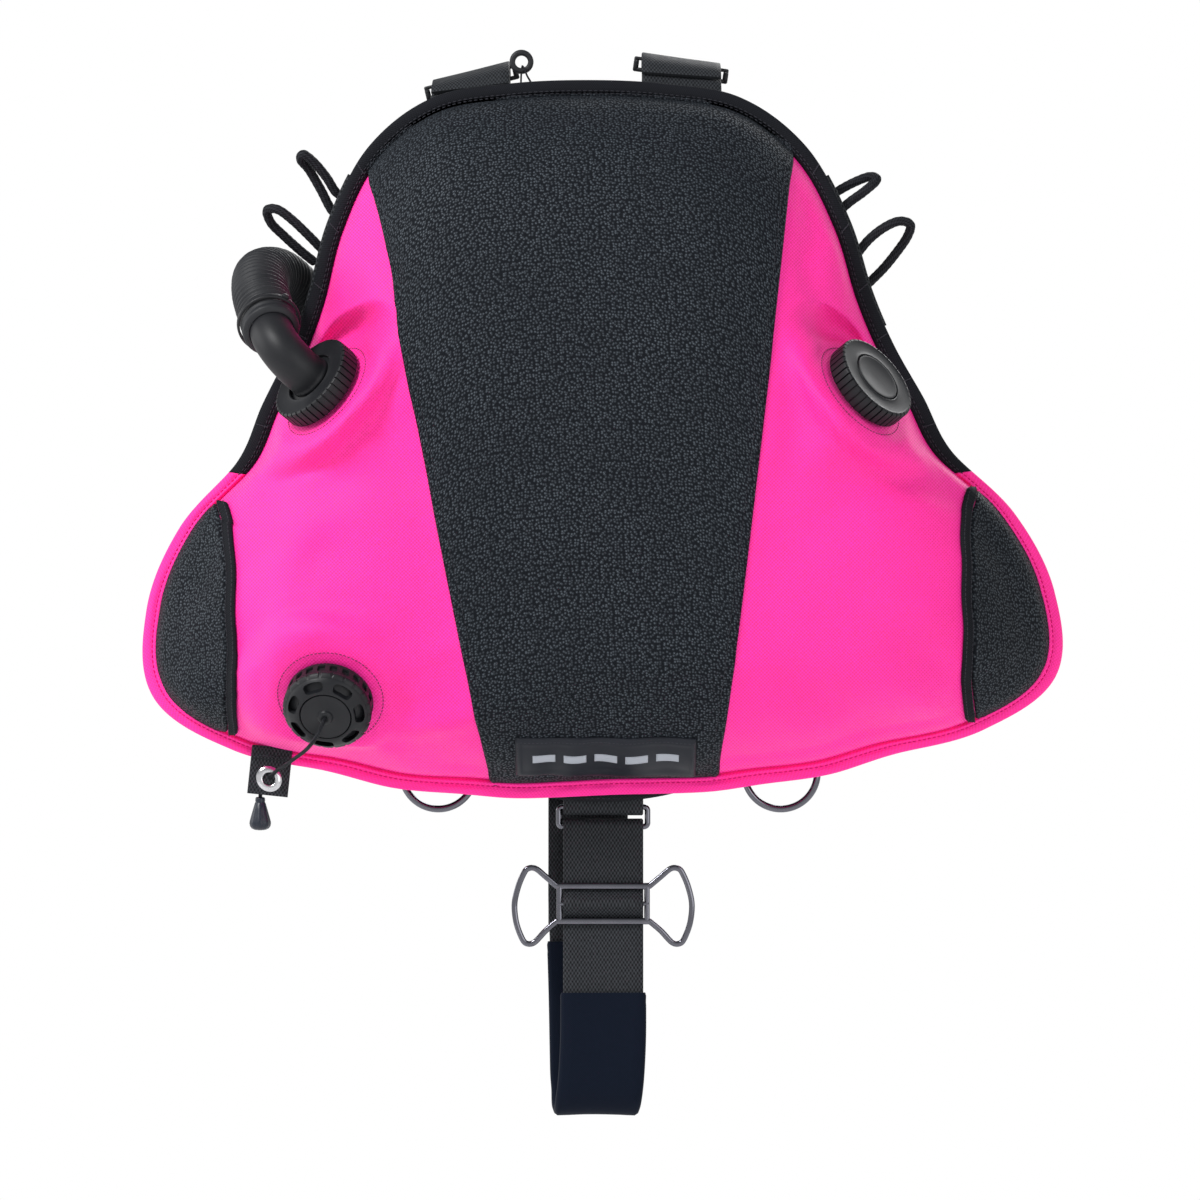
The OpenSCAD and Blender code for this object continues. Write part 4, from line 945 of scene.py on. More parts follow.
TAPE_RUN, HEM_RUN = np.linspace(172.4, 7.6, 520), np.linspace(7.6, -187.6, 640)
for name, a, piping, mat, slot, node in (
        ("edge_tape", TAPE_RUN, False, TAPE, "black_binding", "edge_binding"),
        ("hem_roll", HEM_RUN, True, PINK_HEM, "pink_binding", "hem_binding")):
    r, w = rim_rings(a, piping)
    Build().rings(r, wv=w).piece(name, mat, slot=slot, node=node)

sew = Build()
for inset in (8.9, 7.4):
    stitches(sew, rim_line(TAPE_RUN, inset), OUT, 3.4, 2.3, 0.33)
for k in np.linspace(164, 16, 19):  # bars that tack the shock cord's tunnel
    if not 118 > k > 60:
        bar = np.array([rim_line(np.array([k]), i, 0.1)[0] for i in (1.6, 4.5, 8.5)])
        stitches(sew, bar, OUT, 1.5, 1.6, 0.4)
for p in PORTS:  # the sewn circle round each port
    stitches(sew, p.at(circle(32.6, 120)), p.w, 2.6, 1.9, 0.24, 0.1)
sew.piece("edge_stitching", THREAD)
sew = Build()
stitches(sew, rim_line(HEM_RUN, 7.3, -0.35), OUT, 3.2, 2.2, 0.36)
sew.piece("hem_stitching", PINK_THREAD)
sew = Build()
for edge_a, edge_b in ((122.0, 247.0), (61.0, 294.0)):  # a row beside each edge of the centre panel
    p0, p1 = rim_point(edge_a, RIM_W + 2), rim_point(edge_b, RIM_W + 2)
    line = mix(p0[None], p1[None], np.linspace(0, 1, 160)[:, None])
    sew_on(sew, line + np.array([2.8 if p0[0] < 0 else -2.8, 0]), 1.75, 3.2, 2.2, 0.26)
sew.piece("panel_stitching", THREAD)


# ---------------------------------------------------------------- patch: plain, with a raised frame
PATCH_AT, PATCH_SIZE = np.array([3.5, -195]), (111, 23)


def slab(wide, high, nx, nz):
    """A grid about [0, 0], and each place's distance in from the edge."""
    u, v = np.meshgrid(np.linspace(-0.5, 0.5, nx) * wide, np.linspace(-0.5, 0.5, nz) * high)
    return u, v, np.minimum(wide / 2 - np.abs(u), high / 2 - np.abs(v))


def patch():
    b, bars = Build(), Build()
    u, v, edge = slab(*PATCH_SIZE, 90, 24)
    x, z = PATCH_AT[0] + u, PATCH_AT[1] + v
    lift = 2.6 + 1.6 * np.sqrt(np.clip(edge / 1.2, 0, 1)) + 0.7 * hump(edge - 2.4, 0.9)
    b.rings(np.concatenate([skin(x, z, lift, 3), skin(x, z, 1.4, 3)[:, ::-1]], 1))
    b.piece("patch", PATCH, slot="patch_rubber", node="name_patch")
    u, v, edge = slab(14, 4.4, 15, 7)
    for k in range(-2, 3):  # a row of plain raised bars
        x, z = PATCH_AT[0] + 19 * k + u, PATCH_AT[1] + v
        lift = 4.3 + 0.5 * np.sqrt(np.clip(edge / 0.8, 0, 1))
        bars.rings(np.concatenate([skin(x, z, lift, 3), skin(x, z, 3.6, 3)[:, ::-1]], 1))
    bars.piece("patch_bars", PATCH_LIGHT)
    sew = Build()
    loop = np.array([(-53.9, -9.9), (53.9, -9.9), (53.9, 9.9), (-53.9, 9.9), (-53.9, -9.9)])
    sew_on(sew, even(loop, 1.0) + PATCH_AT, 4.25, 2.6, 1.8, 0.25, 3)
    sew.piece("patch_stitching", THREAD)


patch()


# ---------------------------------------------------------------- ports
NUT = [(22.6, 2.6), (27.9, 2.6, 0.6), (28.7, 3.2, 1), (29, 4.2, 1), (29, 13.9, 1), (28.7, 14.9, 1),
       (28.0, 15.4, 0.7), (27.0, 15.5), (26.5, 15.35), (26.0, 15.2), (20, 15.2), (18.2, 15.3), (17.4, 15.5),
       (16.9, 15.3), (16.7, 14.6), (16.7, 12.4), (22.6, 12.2)]
COLLAR = [(14, -6.4), (33.4, -6.4), (34, -5.8), (33.6, -4.4), (26, -4.1), (22.6, -3.6), (22, -3), (22, 8.4),
          (21.4, 9), (14.4, 9), (14, 8.6)]
DISC = [(0.1, 11.3), (19.6, 11.3), (20, 11.6), (20, 12.6), (16.4, 12.9), (16.2, 13.2), (16.2, 15.2),
        (15.8, 15.7), (15.0, 15.8), (14.2, 15.6), (2, 15.4), (0.1, 15.4)]
for word, p in (("elbow", ELBOW), ("blank", BLANK)):
    Build().rings(turned(NUT, p, slots=40, slot_depth=1.25), close=True).piece(
        word + "_nut", BLACK, body=word + "_ring", slot="black_plastic", angle=35, node=word + "_ring")
lathe("blank_disc", BLACK, DISC, BLANK, 72, slot="black_plastic", angle=40, node="blank_plug")
for word, p in (("elbow", ELBOW), ("blank", BLANK), ("dump", DUMP)):
    lathe(word + "_collar", BLACK, COLLAR, p, 64, close=True, slot="black_plastic", angle=40,
          node=word + "_flange")


def make_elbow():
    line = [(0, 0, 11.4), (0, 0, 16), (0, 0, 22)]
    line += [(22 - 22 * math.cos(t), 0, 22 + 22 * math.sin(t)) for t in np.linspace(0.12, math.pi / 2, 14)]
    line += [(30, 0, 44), (42, 0, 44)]
    path = even(smooth(ELBOW.at(line), 4), 0.8)
    s = steps_of(path)
    r = 13.5 + 6.2 * (1 - ease((s - 1.0) / 1.6)) + 0.7 * hump(s - 3.6, 1.4) - 1.0 * ease((s - s[-1] + 18) / 2)
    r = r - 1.2 * (1 - ease((s[-1] - s) / 1.2))
    b = Build().rings(np.concatenate([tube_rings(path, r, 48), tube_rings(path, 10.5, 48)[::-1]]), close=True)
    b.piece("elbow_tube", BLACK, slot="black_plastic", angle=40, node="elbow")


make_elbow()


# ---------------------------------------------------------------- dump valve
def around_square(n):
    """Points round the edge of the square from -1 to 1, the same number to each side."""
    t = np.linspace(-1, 1, n + 1)[:-1]
    return np.concatenate([np.stack([t, -1 + 0 * t], 1), np.stack([1 + 0 * t, t], 1),
                           np.stack([-t, 1 + 0 * t], 1), np.stack([-1 + 0 * t, -t], 1)])


def window_loops(width, height, power, steps, n=8):
    """Loops from the square's edge in to a rounded opening."""
    sq = around_square(n)
    k = (np.abs(sq[:, 0] / width) ** power + np.abs(sq[:, 1] / height) ** power) ** (-1 / power)
    return np.array([mix(sq, sq * k[:, None], t) for t in steps])


DOME_R = [15.9, 17, 19, 21.5, 23.5, 25.0, 26.0, 26.6]
DOME_W = [21.7, 21.9, 21.4, 20.1, 18.6, 17.0, 15.4, 13.8]
WINDOWS, POCKETS = 7, 22


def on_dome(sq, k, drop):
    """A point of the square of window k, on the cap's dome, or drop below it."""
    th = (k + 0.5 * sq[..., 0] + 0.15) * TAU / WINDOWS
    r = 20.9 + 4.6 * sq[..., 1]
    return DUMP.at(np.stack([r * np.cos(th), r * np.sin(th), np.interp(r, DOME_R, DOME_W) - drop], -1))


def on_skirt(sq, k, deep):
    """A point of the square of pocket k, on the cap's skirt, or deep inside it."""
    th = (k + 0.5 * sq[..., 0]) * TAU / POCKETS
    r = 27.0 - deep
    return DUMP.at(np.stack([r * np.cos(th), r * np.sin(th), 8.1 + 4.3 * sq[..., 1]], -1))


def cap():
    b = Build()
    for count, place, loops, inside in (
            (WINDOWS, on_dome, window_loops(0.66, 0.62, 3.6, (0, 0.35, 0.7, 0.9, 1.0)),
             ((0.985, 0.5), (0.97, 1.4), (0.96, 4.6), (1.06, 4.8), (1.08, 1.8))),
            (POCKETS, on_skirt, window_loops(0.62, 0.74, 6, (0, 0.5, 0.9, 1.0), 6),
             ((0.96, 0.4), (0.93, 1.9), (0.1, 1.9)))):
        for k in range(count):
            rings = [place(lp, k, 0.0) for lp in loops]
            b.rings(rings + [place(loops[-1] * size, k, d) for size, d in inside], cap=False)
    rim = [(27.0, 12.4, 0), (27.35, 13.0, 1), (27.3, 14.4, 1), (26.6, 15.4, 0.8), (25.6, 16.4, 0.2),
           (25.3, 16.7)]
    b.rings(turned(rim, DUMP, slots=POCKETS, slot_depth=0.55), cap=False)
    b.rings(turned([(23.4, 3.0), (26.4, 2.6), (27, 3.0), (27, 3.8)], DUMP, 176), cap=False)
    b.rings(turned([(16.4, 21.75), (15.95, 21.3), (15.9, 19.2), (17.4, 18.4), (22.8, 14.6), (23.2, 11),
                    (23.2, 2.8)],
                   DUMP, 112), cap=False)
    b.piece("valve_cap", BLACK, body="dump_cap", slot="black_plastic", angle=38, node="dump_cap")


cap()
HUB = [(0.4, 19.8), (15.2, 19.8), (15.6, 20.2), (15.6, 21.1), (15.2, 21.6), (13, 21.6), (5.4, 21.6),
       (4.9, 21.9), (4.6, 22.8), (4.0, 23.6), (2.9, 24), (2.0, 23.9), (1.7, 23.5)]
POPPET = [(0.1, 9.3), (16.6, 9.3), (17, 9.7), (16.7, 10.6), (12, 10.9), (4, 10.9), (3, 11.4), (3, 13.4),
          (2.6, 13.7), (0.1, 13.7)]
SKIRT = [(21.6, 3), (21.9, 3), (21.9, 10.1), (21.5, 10.4), (20.4, 10.4), (20.2, 9.9), (20.2, 9.3)]
SPRING_R, SPRING_TURNS = 8, 3
lathe("valve_hub", BLACK, HUB, DUMP, 72, body="dump_cap", slot="black_plastic", angle=40, node="dump_hub")
b = Build().rings(turned(POPPET, DUMP, 64)).rings(turned(SKIRT, DUMP, 64), cap=False)
b.piece("valve_poppet", GREY, body="dump_poppet", slot="black_plastic", angle=40, node="dump_poppet")
s = np.linspace(0, 1, SPRING_TURNS * 24 + 1)
t = SPRING_TURNS * TAU * s
path = DUMP.at(np.stack([SPRING_R * np.cos(t), SPRING_R * np.sin(t), 11.6 + 3.6 * s], -1))
Build().rings(tube_rings(path, 0.5, 10)).piece("valve_spring", STEEL, body="dump_poppet", slot="steel",
                                               node="dump_spring")


# ---------------------------------------------------------------- the web tab, its eyelet and the pull knob
tilt = math.radians(6)
TAB = (np.array([-205.6, -13.3, -205.6]), np.array([math.cos(tilt), 0, -math.sin(tilt)]), REARWARD,
       np.array([math.sin(tilt), 0, math.cos(tilt)]))


def on_tab(*points):
    """Points given across, behind and up the tab."""
    return placed(np.array(points, float), TAB)


tab = on_tab((0, 0, -15.3), (0, 0, -8), (0, 0, 0), (0, -0.1, 8), (0, -0.2, 14.6))
strap("tab", smooth(tab, 4), TAB[1], WEB, w=25.4, t=2.0, step=1.0, slot="webbing", node="cord_tab")
strap("tab_fold", smooth(on_tab((0, -1.5, 15.2), (0, -1.7, 11), (0, -1.5, 7.4)), 4), TAB[1], WEB, w=25.0,
      t=1.2, step=1.0, slot="webbing")
sew = Build()
for z in (13.6, 9.2):
    stitches(sew, on_tab((-11.5, -2.3, z), (0, -2.3, z), (11.5, -2.3, z)), OUT, 2.6, 1.9, 0.3)
sew.piece("tab_stitching", THREAD)
EYELET = [(3.7, -1.9), (3.7, 1.2), (4.0, 1.9), (4.8, 2.25), (6.0, 2.2), (7.2, 1.7), (8.0, 1.1), (7.9, 0.95),
          (4.5, 0.9), (4.4, -0.9), (7.9, -1.0), (8.0, -1.2), (7.2, -1.7), (5.0, -2.1)]
lathe("eyelet", STEEL, EYELET, (on_tab((0, 0, -5))[0], TAB[1], (0, 0, 1), OUT), 64, close=True, slot="steel",
      angle=50, node="cord_grommet")

KNOB_AT = np.array([-211.9, -9.4, -222.0])
KNOB_FORM = [(1.6, -0.6), (2.0, 0), (2.5, -0.1), (3.0, -0.9), (3.1, -2.4), (2.9, -3.1), (3.4, -3.9),
             (4.6, -8), (5.9, -12.6), (6.6, -15.2), (6.75, -16.4), (6.4, -18.2), (5.4, -19.6), (3.6, -20.5),
             (1.2, -20.8), (0.1, -20.8)]
SIDE_WAYS = ((1, 0, 0), (0, 1, 0), (0, 0, 1))


def make_knob():
    """The pull knob, with eight soft facets below its neck."""
    rings = turned(KNOB_FORM, (KNOB_AT, *SIDE_WAYS), 96)
    down = -np.array(KNOB_FORM)[:, 1:]
    facet = 1 - 0.055 * ease((down - 5) / 5) * (1 - np.abs(np.cos(4 * np.arange(96) * TAU / 96)))
    rings[..., :2] = KNOB_AT[:2] + (rings[..., :2] - KNOB_AT[:2]) * facet[..., None]
    return Build().rings(rings).piece("knob", KNOB, body="pull_knob", slot="knob_plastic", angle=60,
                                      node="pull_knob")


knob = make_knob()


# ---------------------------------------------------------------- harness: straps, sliders, buckle
STRAP_TOP_X, STRAP_FOOT_X, STRAP_LOW, STRAP_TILT = (-81, 51), (-112, 112), (8, 0), (14, -8)
STRAP_ROUTE = [(-6.3, 132, 0), (-6.3, 170, 0), (-6, 205, 0), (-3, 221, 0), (7, 231, 0), (24, 235.4, 0),
               (46, 235, 0.02), (80, 223, 0.1), (115, 194, 0.28), (138, 146, 0.5), (147, 92, 0.5),
               (145, 30, 0.5), (128, -25, 0.75), (92, -65, 0.95), (44, -86, 1), (10, -92, 1), (-5, -99, 1),
               (-6.3, -108, 1), (-6.3, -121, 1)]


def shoulder(i, word):
    q = smooth(STRAP_ROUTE, 6)
    x = mix(STRAP_TOP_X[i], STRAP_FOOT_X[i], ease(q[:, 2]))
    path = np.stack([x, q[:, 0], q[:, 1] - STRAP_LOW[i] * ease((q[:, 1] - 150) / 70)], 1)
    t = np.radians(STRAP_TILT[i] * (1 - ease(2 * q[:, 2])))
    strap(word + "_shoulder", path, np.stack([np.cos(t), 0 * t, np.sin(t)], 1), WEB, slot="webbing",
          node=word + "_shoulder_strap")
    tail = smooth([(STRAP_TOP_X[i], y, z - STRAP_LOW[i])
                   for y, z in ((-2, 228.5), (6, 236), (22, 241), (42, 241), (58, 236.5))], 5)
    t = math.radians(STRAP_TILT[i])
    strap(word + "_shoulder_tail", tail, (math.cos(t), 0, math.sin(t)), WEB, t=2.0, slot="webbing")


def slider(i, word):
    """A ladder slider: two side plates and three bars across."""
    c = np.array([STRAP_TOP_X[i], 26, 235.4 - STRAP_LOW[i]])
    t, e = math.radians(STRAP_TILT[i]), math.radians(5)
    ry = np.array([[math.cos(-t), 0, math.sin(-t)], [0, 1, 0], [-math.sin(-t), 0, math.cos(-t)]])
    rx = np.array([[1, 0, 0], [0, math.cos(e), -math.sin(e)], [0, math.sin(e), math.cos(e)]])
    parts = []
    for x in (-28.4, 28.4):
        parts += [((3.2, 24, 3), (x, 0, 0), "y", 0.9), ((3.2, 3.2, 6), (x, -10.4, -2.5), "z", 0.9),
                  ((3.2, 3.2, 6), (x, 10.4, -2.5), "z", 0.9), ((3.2, 3.6, 4.2), (x, 0, 1.8), "z", 0.9)]
    parts += [((60, 3.2, 2.6), (0, -10.4, -4.2), "x", 1.0), ((60, 3.2, 2.6), (0, 10.4, -4.2), "x", 1.0),
              ((60, 3.6, 2.2), (0, 0, 2.8), "x", 0.9)]
    boxes(word + "_ladder", BLACK, parts, lambda g: g @ (ry @ rx).T + c, slot="black_plastic",
          node=word + "_slider")


for make in (shoulder, slider):
    for i, (_, word) in enumerate(SIDES):
        make(i, word)
RING = [(4, -2.2), (4.6, -2.9), (6, -3), (7.2, -2.6), (7.5, -1.6), (7.5, 1.6), (7.2, 2.6), (6, 3), (4.6, 2.9),
        (4, 2.2)]
lathe("string_ring", BLACK, RING, ((-49, -3, 237), (1, 0, 0), (0, 0, 1), (0, -1, 0)), 56, close=True,
      slot="black_plastic", node="strap_ring")

BELT_Z = -152.0
BELT = [(62, -6.3), (90, -6.3), (112, -4), (130, 12), (141, 42), (141, 78), (128, 114), (102, 142), (68, 158),
        (40, 163)]
for side, word, tail in ((-1, "left", [(24, 163.6)]),
                         (1, "right", [(24, 164.2), (8, 164.6), (-8, 165), (-20, 168), (-30, 169.4),
                                       (-60, 166), (-88, 157)])):
    path = smooth([(side * x, y, BELT_Z) for x, y in BELT + tail], 6)
    strap(word + "_belt", path, (0, 0, 1), WEB, slot="webbing", node=word + "_waist_strap")

boxes("belt_buckle", STEEL, [
    ((52, 13, 2.4), (0, 168, BELT_Z + 31), "x", 1.0), ((52, 13, 2.4), (0, 168, BELT_Z - 31), "x", 1.0),
    ((4, 2.4, 62), (-24, 160.4, BELT_Z), "z", 0.9), ((5, 2.4, 62), (0, 160.4, BELT_Z), "z", 0.9),
    ((4, 2.4, 62), (24, 160.4, BELT_Z), "z", 0.9), ((3, 3, 62), (19, 172.4, BELT_Z), "z", 1.45)],
    slot="steel", node="buckle_frame")
boxes("belt_lever", STEEL, [
    ((44, 2, 57.2), (-3, 174.6, BELT_Z), "z", 0.9), ((6.4, 6.4, 57.2), (19, 172.4, BELT_Z), "z", 3.1),
    ((8, 2, 40), (-25, 176, BELT_Z), "z", 0.9, -25)], body="buckle_lever", slot="steel", node="buckle_lever")


def outline_plate(name, edge, y0, y1, mat, slot, node, quilt=None, step=4.0, seam=6.0):
    """A padded panel from its outline [x, z]: domed faces, a pinched sewn edge and quilting lines."""
    edge = even(np.concatenate([edge, edge[:1]]), step)[:-1]
    mid = edge.mean(0)
    t = np.concatenate([np.linspace(0.02, 0.86, 22), np.linspace(0.88, 1.0, 10)])
    place = mid + (edge - mid)[None] * t[:, None, None]
    away = (1 - t)[:, None] * np.linalg.norm(edge - mid, axis=1)[None]
    rise = rounded(away, 3.0)
    full = rise * (1 - 0.45 * hump(away - seam, 1.6))
    if quilt is not None:
        full = full * (1 - 0.5 * quilt(place[..., 0], place[..., 1]))
    c, h = (y0 + y1) / 2, (y1 - y0) / 2
    rear_face = np.stack([place[..., 0], c + h * (0.25 + 0.75 * full), place[..., 1]], -1)
    front_face = np.stack([place[..., 0], c - h * (0.25 + 0.75 * rise), place[..., 1]], -1)
    b = Build().rings(np.concatenate([rear_face, front_face[::-1]]))
    return b.piece(name, mat, slot=slot, node=node), edge


def corners(w, h, r, n=9):
    """The outline of a rectangle with round corners, w by h from its middle to its sides."""
    return np.array([(cx * (w - r) + r * math.cos(t), cz * (h - r) + r * math.sin(t))
                     for cx, cz, s in ((1, 1, 0), (-1, 1, 90), (-1, -1, 180), (1, -1, 270))
                     for t in np.radians(np.linspace(s, s + 90, n))])


def quilting(x, z):
    """Seams of the back pad: one down the middle, one across every 62.5 mm."""
    return np.maximum(hump(np.mod(z + 31.25, 62.5) - 31.25, 2.2), hump(x, 2.2))


PLATE = np.array([(-105, 188), (-112, 182), (-116, 60), (-128, -40), (-130, -60), (-130, -184), (-124, -190),
                  (124, -190), (130, -184), (130, -60), (128, -40), (116, 60), (106, 182), (98, 188)], float)
t = np.linspace(0, math.pi, 25)
SEAT = np.stack([np.concatenate([[-75.0, 75.0], 75 * np.cos(t)]),
                 np.concatenate([[-191.0, -191.0], -200 - 25 * np.sin(t)])], 1)
harness, plate_edge = outline_plate("harness_plate", PLATE, -11.9, -7.9, NYLON, "black_cloth",
                                    "harness_panel")
pad, _ = outline_plate("back_cushion", corners(85.0, 125.0, 24.0), -7.7, 0.0, MESH, "padding", "back_pad",
                       quilting, 3.0, 8.0)
seat, seat_edge = outline_plate("tail_pad", SEAT, -11.9, -7.9, NYLON, "black_cloth", "butt_pad")
sew = Build()
for e, y, share, way in ((plate_edge, -8.55, 0.955, 1), (seat_edge, -8.7, 0.9, 1),
                         (seat_edge, -11.4, 0.9, -1)):
    p = e.mean(0) + (np.concatenate([e, e[:1]]) - e.mean(0)) * share
    stitches(sew, np.stack([p[:, 0], np.full(len(p), y), p[:, 1]], 1), way * REARWARD, 3.4, 2.3, 0.35)
for x, z in ((STRAP_TOP_X[0], 145), (STRAP_TOP_X[1], 145), (-112, -113), (112, -113), (-80, -152),
             (80, -152)):
    wx, wz = (8, 20) if z == -152 else (20, 8)  # a box with a cross, sewn where a strap is held
    box = np.array([(-wx, -wz), (wx, -wz), (wx, wz), (-wx, wz), (-wx, -wz), (wx, wz), (wx, -wz), (-wx, wz)],
                   float)
    p = even(box, 1.5)
    stitches(sew, np.stack([x + p[:, 0], np.full(len(p), -5.0), z + p[:, 1]], 1), REARWARD, 3.0, 2.1, 0.35)
sew.piece("harness_stitching", THREAD)

b = Build()
for side, _ in SIDES:
    k = np.linspace(34, 56, 25)
    p = rim_point(k if side > 0 else 180 - k, 6)
    rings, wv = strap_rings(np.stack([p[:, 0], edge_y(p[:, 0]) + 8, p[:, 1]], 1), (1, 0, side * 0.35), 14,
                            3.0)
    b.rings(rings, wv=wv)
b.piece("cord_tunnels", WEB, slot="webbing", angle=50, node="bungee_sleeves")

CROTCH_X, HIP_BAR_Z, CROTCH_BAR_Z = 2.0, -203, -228.5
b = Build()
for x, bar_z, w, top in ((-101, HIP_BAR_Z, 38, -178), (113, HIP_BAR_Z, 38, -178),
                         (CROTCH_X, CROTCH_BAR_Z, 50, -196)):
    r = 2.2 + 0.6 + WEB_T / 2
    path = [(x, BAR_Y - r, top), (x, BAR_Y - r, (top + bar_z) / 2)]
    path += [(x, BAR_Y + r * math.cos(t), bar_z + r * math.sin(t)) for t in np.radians(np.linspace(180, 360,
                                                                                                   13))]
    path += [(x, BAR_Y + r - 1, bar_z + 5)] + [(x, BAR_Y - r + WEB_T + 0.3, z) for z in (bar_z + 13, top)]
    rings, wv = strap_rings(even(path, 1.2), ACROSS, w, WEB_T)
    b.rings(rings, wv=wv)
b.piece("ring_tabs", WEB, slot="webbing", angle=50, node="webbing_tabs")

parts = []
for x in (-96.5, 81.5):
    parts += [(size, (x + dx, y, z), "x", 0.9) for size, dx, y, z in (
        ((57, 2.1, 16), 0, 143.6, 92), ((57, 2.1, 16), 0, 150.4, 92), ((2.1, 8.9, 16), -27.4, 147, 92),
        ((2.1, 8.9, 16), 27.4, 147, 92), ((40, 2.2, 11), 0, 158, 92), ((40, 5, 2.4), 0, 153.5, 96.3),
        ((40, 5, 2.4), 0, 153.5, 87.7))]
boxes("ring_keepers", NYLON, parts, slot="webbing", node="chest_keepers")


# ---------------------------------------------------------------- crotch strap, its sleeve and the rail
TURN = 1.8 + 0.8 + WEB_T / 2
Y0, SHIFT = 19.0, -9.5
FOLD = [(0, BAR_Y + TURN * math.cos(t), CROTCH_BAR_Z - 12.3 + TURN * math.sin(t))
        for t in np.linspace(0, math.pi, 13)]
LEG = [(0, -6.4, -250), (0, -6.8, -262), (0, -7.1, -272), (0, -7.2, -278), (0, -8.5, -281.4),
       (0, -10.5, -283.3), (0, -12.8, -285.4), (0, -14.4, -287.2), (0, -14.8, -288.5), (0, -14.4, -289.8),
       (0, -12.8, -291.6), (0, -10.5, -293.7), (0, -8.5, -295.6), (0, -7.4, -299), (0, -8, -310),
       (0, -9.5, -328), (0, -10.4, -344), (0, -11.5, -370), (-1, -12, -393), (-2.5, -9, -408),
       (-4, -1.5, -416.5), (-5, 7, -417.2), (-6, 15.5, -410), (-6.6, 19.6, -396), (-7, 20.6, -376),
       (-7.6, 20.4, -345), (-8.6, 19.8, -313), (SHIFT, 19.2, -290), (SHIFT, Y0, -260),
       (SHIFT, Y0 + 0.2, -232), (SHIFT, Y0 + 4.5, -223.5), (SHIFT, Y0 + 9, -232), (SHIFT, Y0 + 9, -262),
       (SHIFT, Y0 + 5.5, -280), (SHIFT, Y0 + 3.2, -290), (SHIFT, Y0 + 3.6, -304)]
SLEEVE_FROM, SLEEVE_TO, LEG_STEPS = 16, 26, 5      # the points of LEG that the sleeve runs between
to_crotch = np.array([CROTCH_X, 0, 0])
leg = smooth(LEG, LEG_STEPS) + to_crotch
path = np.concatenate([np.array([(0, BAR_Y + TURN, -262), (0, BAR_Y + TURN, -252)] + FOLD) + to_crotch, leg])
strap("crotch_webbing", path, ACROSS, WEB, step=1.2, body="crotch", slot="webbing", node="crotch_strap")


def sleeve():
    part = even(leg[SLEEVE_FROM * LEG_STEPS:SLEEVE_TO * LEG_STEPS + 1], 2.0)
    s = steps_of(part)
    outer, inner = [strap_rings(part, ACROSS, w, t)[0] for w, t in ((53.6, 7.0), (51.0, 3.4))]
    ends = np.minimum(s, s[-1] - s)
    lip = 1 - 0.02 * (1 - ease(ends / 1.5)) - 0.012 * hump(ends - 5.2, 0.9)
    crease = 1 - 0.015 * hump(s - s[-1] * 0.42, 5) - 0.015 * hump(s - s[-1] * 0.52, 6)
    outer = part[:, None] + (outer - part[:, None]) * (lip * crease)[:, None, None]
    b = Build().rings(np.concatenate([outer, inner[::-1]]), close=True)
    return b.piece("leg_sleeve", PAD, body="crotch", slot="padding", angle=60, node="crotch_pad")


leg_sleeve = sleeve()

RAIL_OUT = [(27.5, -275.5), (35, -269.5), (41.5, -264.6), (47.5, -264.8), (51.5, -269.5), (55, -278),
            (57.3, -289), (56, -301), (52, -311.5), (48, -315.5), (42, -314.6), (35, -307.5), (27.5, -301.5)]
RAIL_IN = [(29.8, -280), (36.6, -274), (43, -268.6), (47, -268.8), (48.6, -272), (51.4, -279.4), (53.3, -289),
           (52.2, -300.4), (48.6, -310), (46.4, -311.5), (43.4, -310.4), (36.6, -303), (29.8, -297)]
RAIL_Y, RAIL_TOP_Z, RAIL_FOOT_Z, RAIL_DEEP = -10.5, -277.6, -299.4, 3.0


def wire(b, points, wide):
    """A length of bent flat wire through points of [x, z]."""
    path = even(np.array([(CROTCH_X + x, RAIL_Y, z) for x, z in points]), 0.9)
    sidew = np.cross(unit(np.gradient(path, axis=0)), REARWARD)
    t = np.arange(16) * TAU / 16
    cx, cy = [np.sign(q) * np.abs(q) ** 0.75 for q in (np.cos(t), np.sin(t))]
    b.rings(path[:, None] + cx[None, :, None] * sidew[:, None] * wide / 2
            + cy[None, :, None] * REARWARD * RAIL_DEEP / 2)


def rail():
    """Each loop follows the middle between its outer and inner edges."""
    b = Build()
    mid = (smooth(RAIL_OUT, 6) + smooth(RAIL_IN, 6)) / 2
    for s in (-1, 1):
        wire(b, [(s * x, z) for x, z in [(20, RAIL_TOP_Z), *mid, (20, RAIL_FOOT_Z)]], 3.7)
        wire(b, [(s * 27.3, RAIL_TOP_Z - 0.2), (s * 27.3, RAIL_FOOT_Z + 0.2)], 3.6)
    for z, wide in ((RAIL_TOP_Z, 4.2), (-288.5, 2.8), (RAIL_FOOT_Z, 4.2)):
        wire(b, [(-28.4, z), (28.4, z)], wide)
    b.piece("rail", CHROME, body="crotch", slot="steel", angle=60, node="tail_rail")


rail()


# ---------------------------------------------------------------- inflator
IX, IY = -172.0, 60.0
AIR_Z, MOUTH_Z = -96.0, -138.0
BACKWARD = ((1, 0, 0), (0, 0, -1), (0, 1, 0))
STEM = [(10.4, -146.2), (10.4, -152), (13.4, -152), (14, -151.4), (14, -149), (13.4, -148.6), (13.4, -147),
        (14, -146.6), (14, -128), (13.2, -127), (13.2, -125), (14, -124), (14, -76), (13.4, -75), (13.4, -72),
        (14.2, -71.4), (14.2, -66), (13.4, -65.2), (13.2, -63), (13.2, -45), (12.5, -44), (12.5, -37),
        (0.1, -37)]
AIR_FACE = [(8.4, 14), (8.4, 24), (10.4, 24), (11, 23.4), (11, 21), (10.5, 20.6), (10.5, 18.8), (11, 18.2),
            (11, 5)]
MOUTH_FACE = [(6, 14), (6, 26), (8.6, 26), (9, 25.6), (9, 5)]
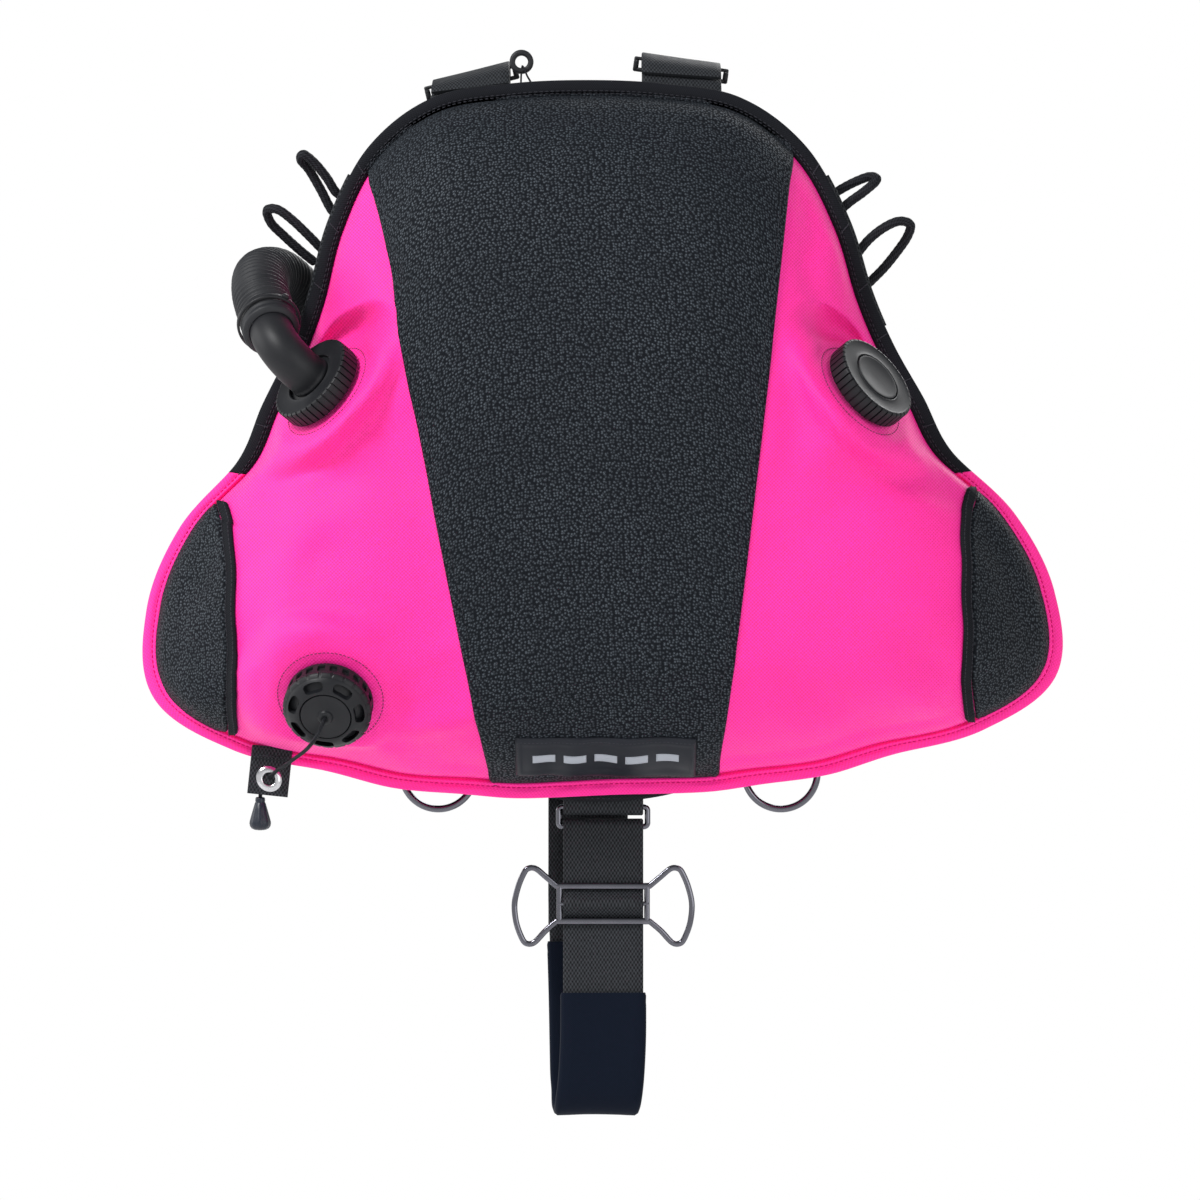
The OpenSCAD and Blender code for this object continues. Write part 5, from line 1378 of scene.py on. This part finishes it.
ARM = [(7, 5), (7, 22), (7.6, 23), (7.6, 27), (7, 28), (7, 47.8), (6.4, 49), (0.1, 49)]
b = Build().rings(turned(STEM, ((IX, IY, 0), *SIDE_WAYS), 56))
for form, z, ways in ((AIR_FACE, AIR_Z, BACKWARD), (MOUTH_FACE, MOUTH_Z, BACKWARD),
                      (ARM, AIR_Z, ((0, 1, 0), (0, 0, -1), (-1, 0, 0)))):
    b.rings(turned(form, ((IX, IY, z), *ways), 48), cap=False)
inflator = b.piece("inflator", BLACK, slot="black_plastic", angle=40, node="inflator_body")
AIR = [(0.1, 0), (7.8, 0), (8, 0.3), (8, 8.2), (7.6, 8.8), (6.8, 9), (5.6, 8.5), (0.1, 8.3)]
VENT = [(0.1, 0.5), (7.4, 0.6), (8.8, 0.0), (9.7, 0.3), (10, 1), (10, 6), (0.1, 6)]
BITE = [(6, 0), (9, 0), (9.4, 0.5), (9.4, 12.6), (10, 13.6), (13.2, 14), (14, 14.8), (14, 16.2), (13.2, 17),
        (10, 17.2), (9.4, 17.8), (9.2, 19.4), (8.4, 20), (6.4, 20), (6, 19.6)]
lathe("air_button", RED, AIR, ((IX, IY + 18.5, AIR_Z), *BACKWARD), 48, body="inflate_button",
      slot="inflate_plastic", angle=50, node="inflate_button")
lathe("vent_button", GREY, VENT, ((IX, IY, -157.0), *SIDE_WAYS), 48, body="deflate_button",
      slot="deflate_plastic", angle=50, node="deflate_button")
lathe("bite_piece", RUBBER, BITE, ((IX, IY + 26.3, MOUTH_Z), *BACKWARD), 56, close=True, slot="hose_rubber",
      angle=50, node="mouthpiece")
NIPPLE_AT = ((IX - 44, IY, -88.8), *SIDE_WAYS)
NIPPLE = [(0.1, 2.6), (4.45, 2.6), (4.45, 15), (4.2, 15.3), (3.3, 15.6), (3.3, 17.3), (3.8, 17.6), (4.15, 18),
          (4.15, 21), (3.7, 21.5), (0.1, 21.5)]
b = Build().rings(turned([(0.1, 0), (5.9, 0), (6.4, 0.4), (6.4, 2.6), (5.9, 3), (0.1, 3)], NIPPLE_AT, 6))
b.rings(turned(NIPPLE, NIPPLE_AT, 48)).piece("hose_nipple", STEEL, slot="steel", angle=50,
                                             node="inflator_nipple")

CLAMP = [(18.3, -2), (19.2, -2), (19.8, -1.5), (19.9, 0), (19.8, 1.5), (19.2, 2), (18.3, 2)]
b = Build()
for at, way in ((ELBOW.at([35.0, 0, 44.0]), HOSE_LEAD - HOSE_START), ((IX, IY, -34), (0, 0, -1))):
    ways = axes_at(np.array(at, float), way)
    b.rings(turned(CLAMP, ways, 64), close=True)
    b.rings(placed(rbox((3.2, 4.4, 3.6), 0.8) + np.array([20.2, 0, 0]), ways))
b.piece("hose_clamps", BLACK, slot="black_plastic", angle=50, node="hose_bands")

# CAD nodes that are right as they are get their materials
for n, m in (("left_hip_ring", CHROME), ("right_hip_ring", CHROME), ("left_chest_ring", STEEL),
             ("right_chest_ring", STEEL), ("crotch_ring", CHROME), ("port_gaskets", RUBBER)):
    o = NODES[n]
    o.data.materials.clear()
    o.data.materials.append(m)
    o.data.polygons.foreach_set("use_smooth", [True] * len(o.data.polygons))


lo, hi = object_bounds()
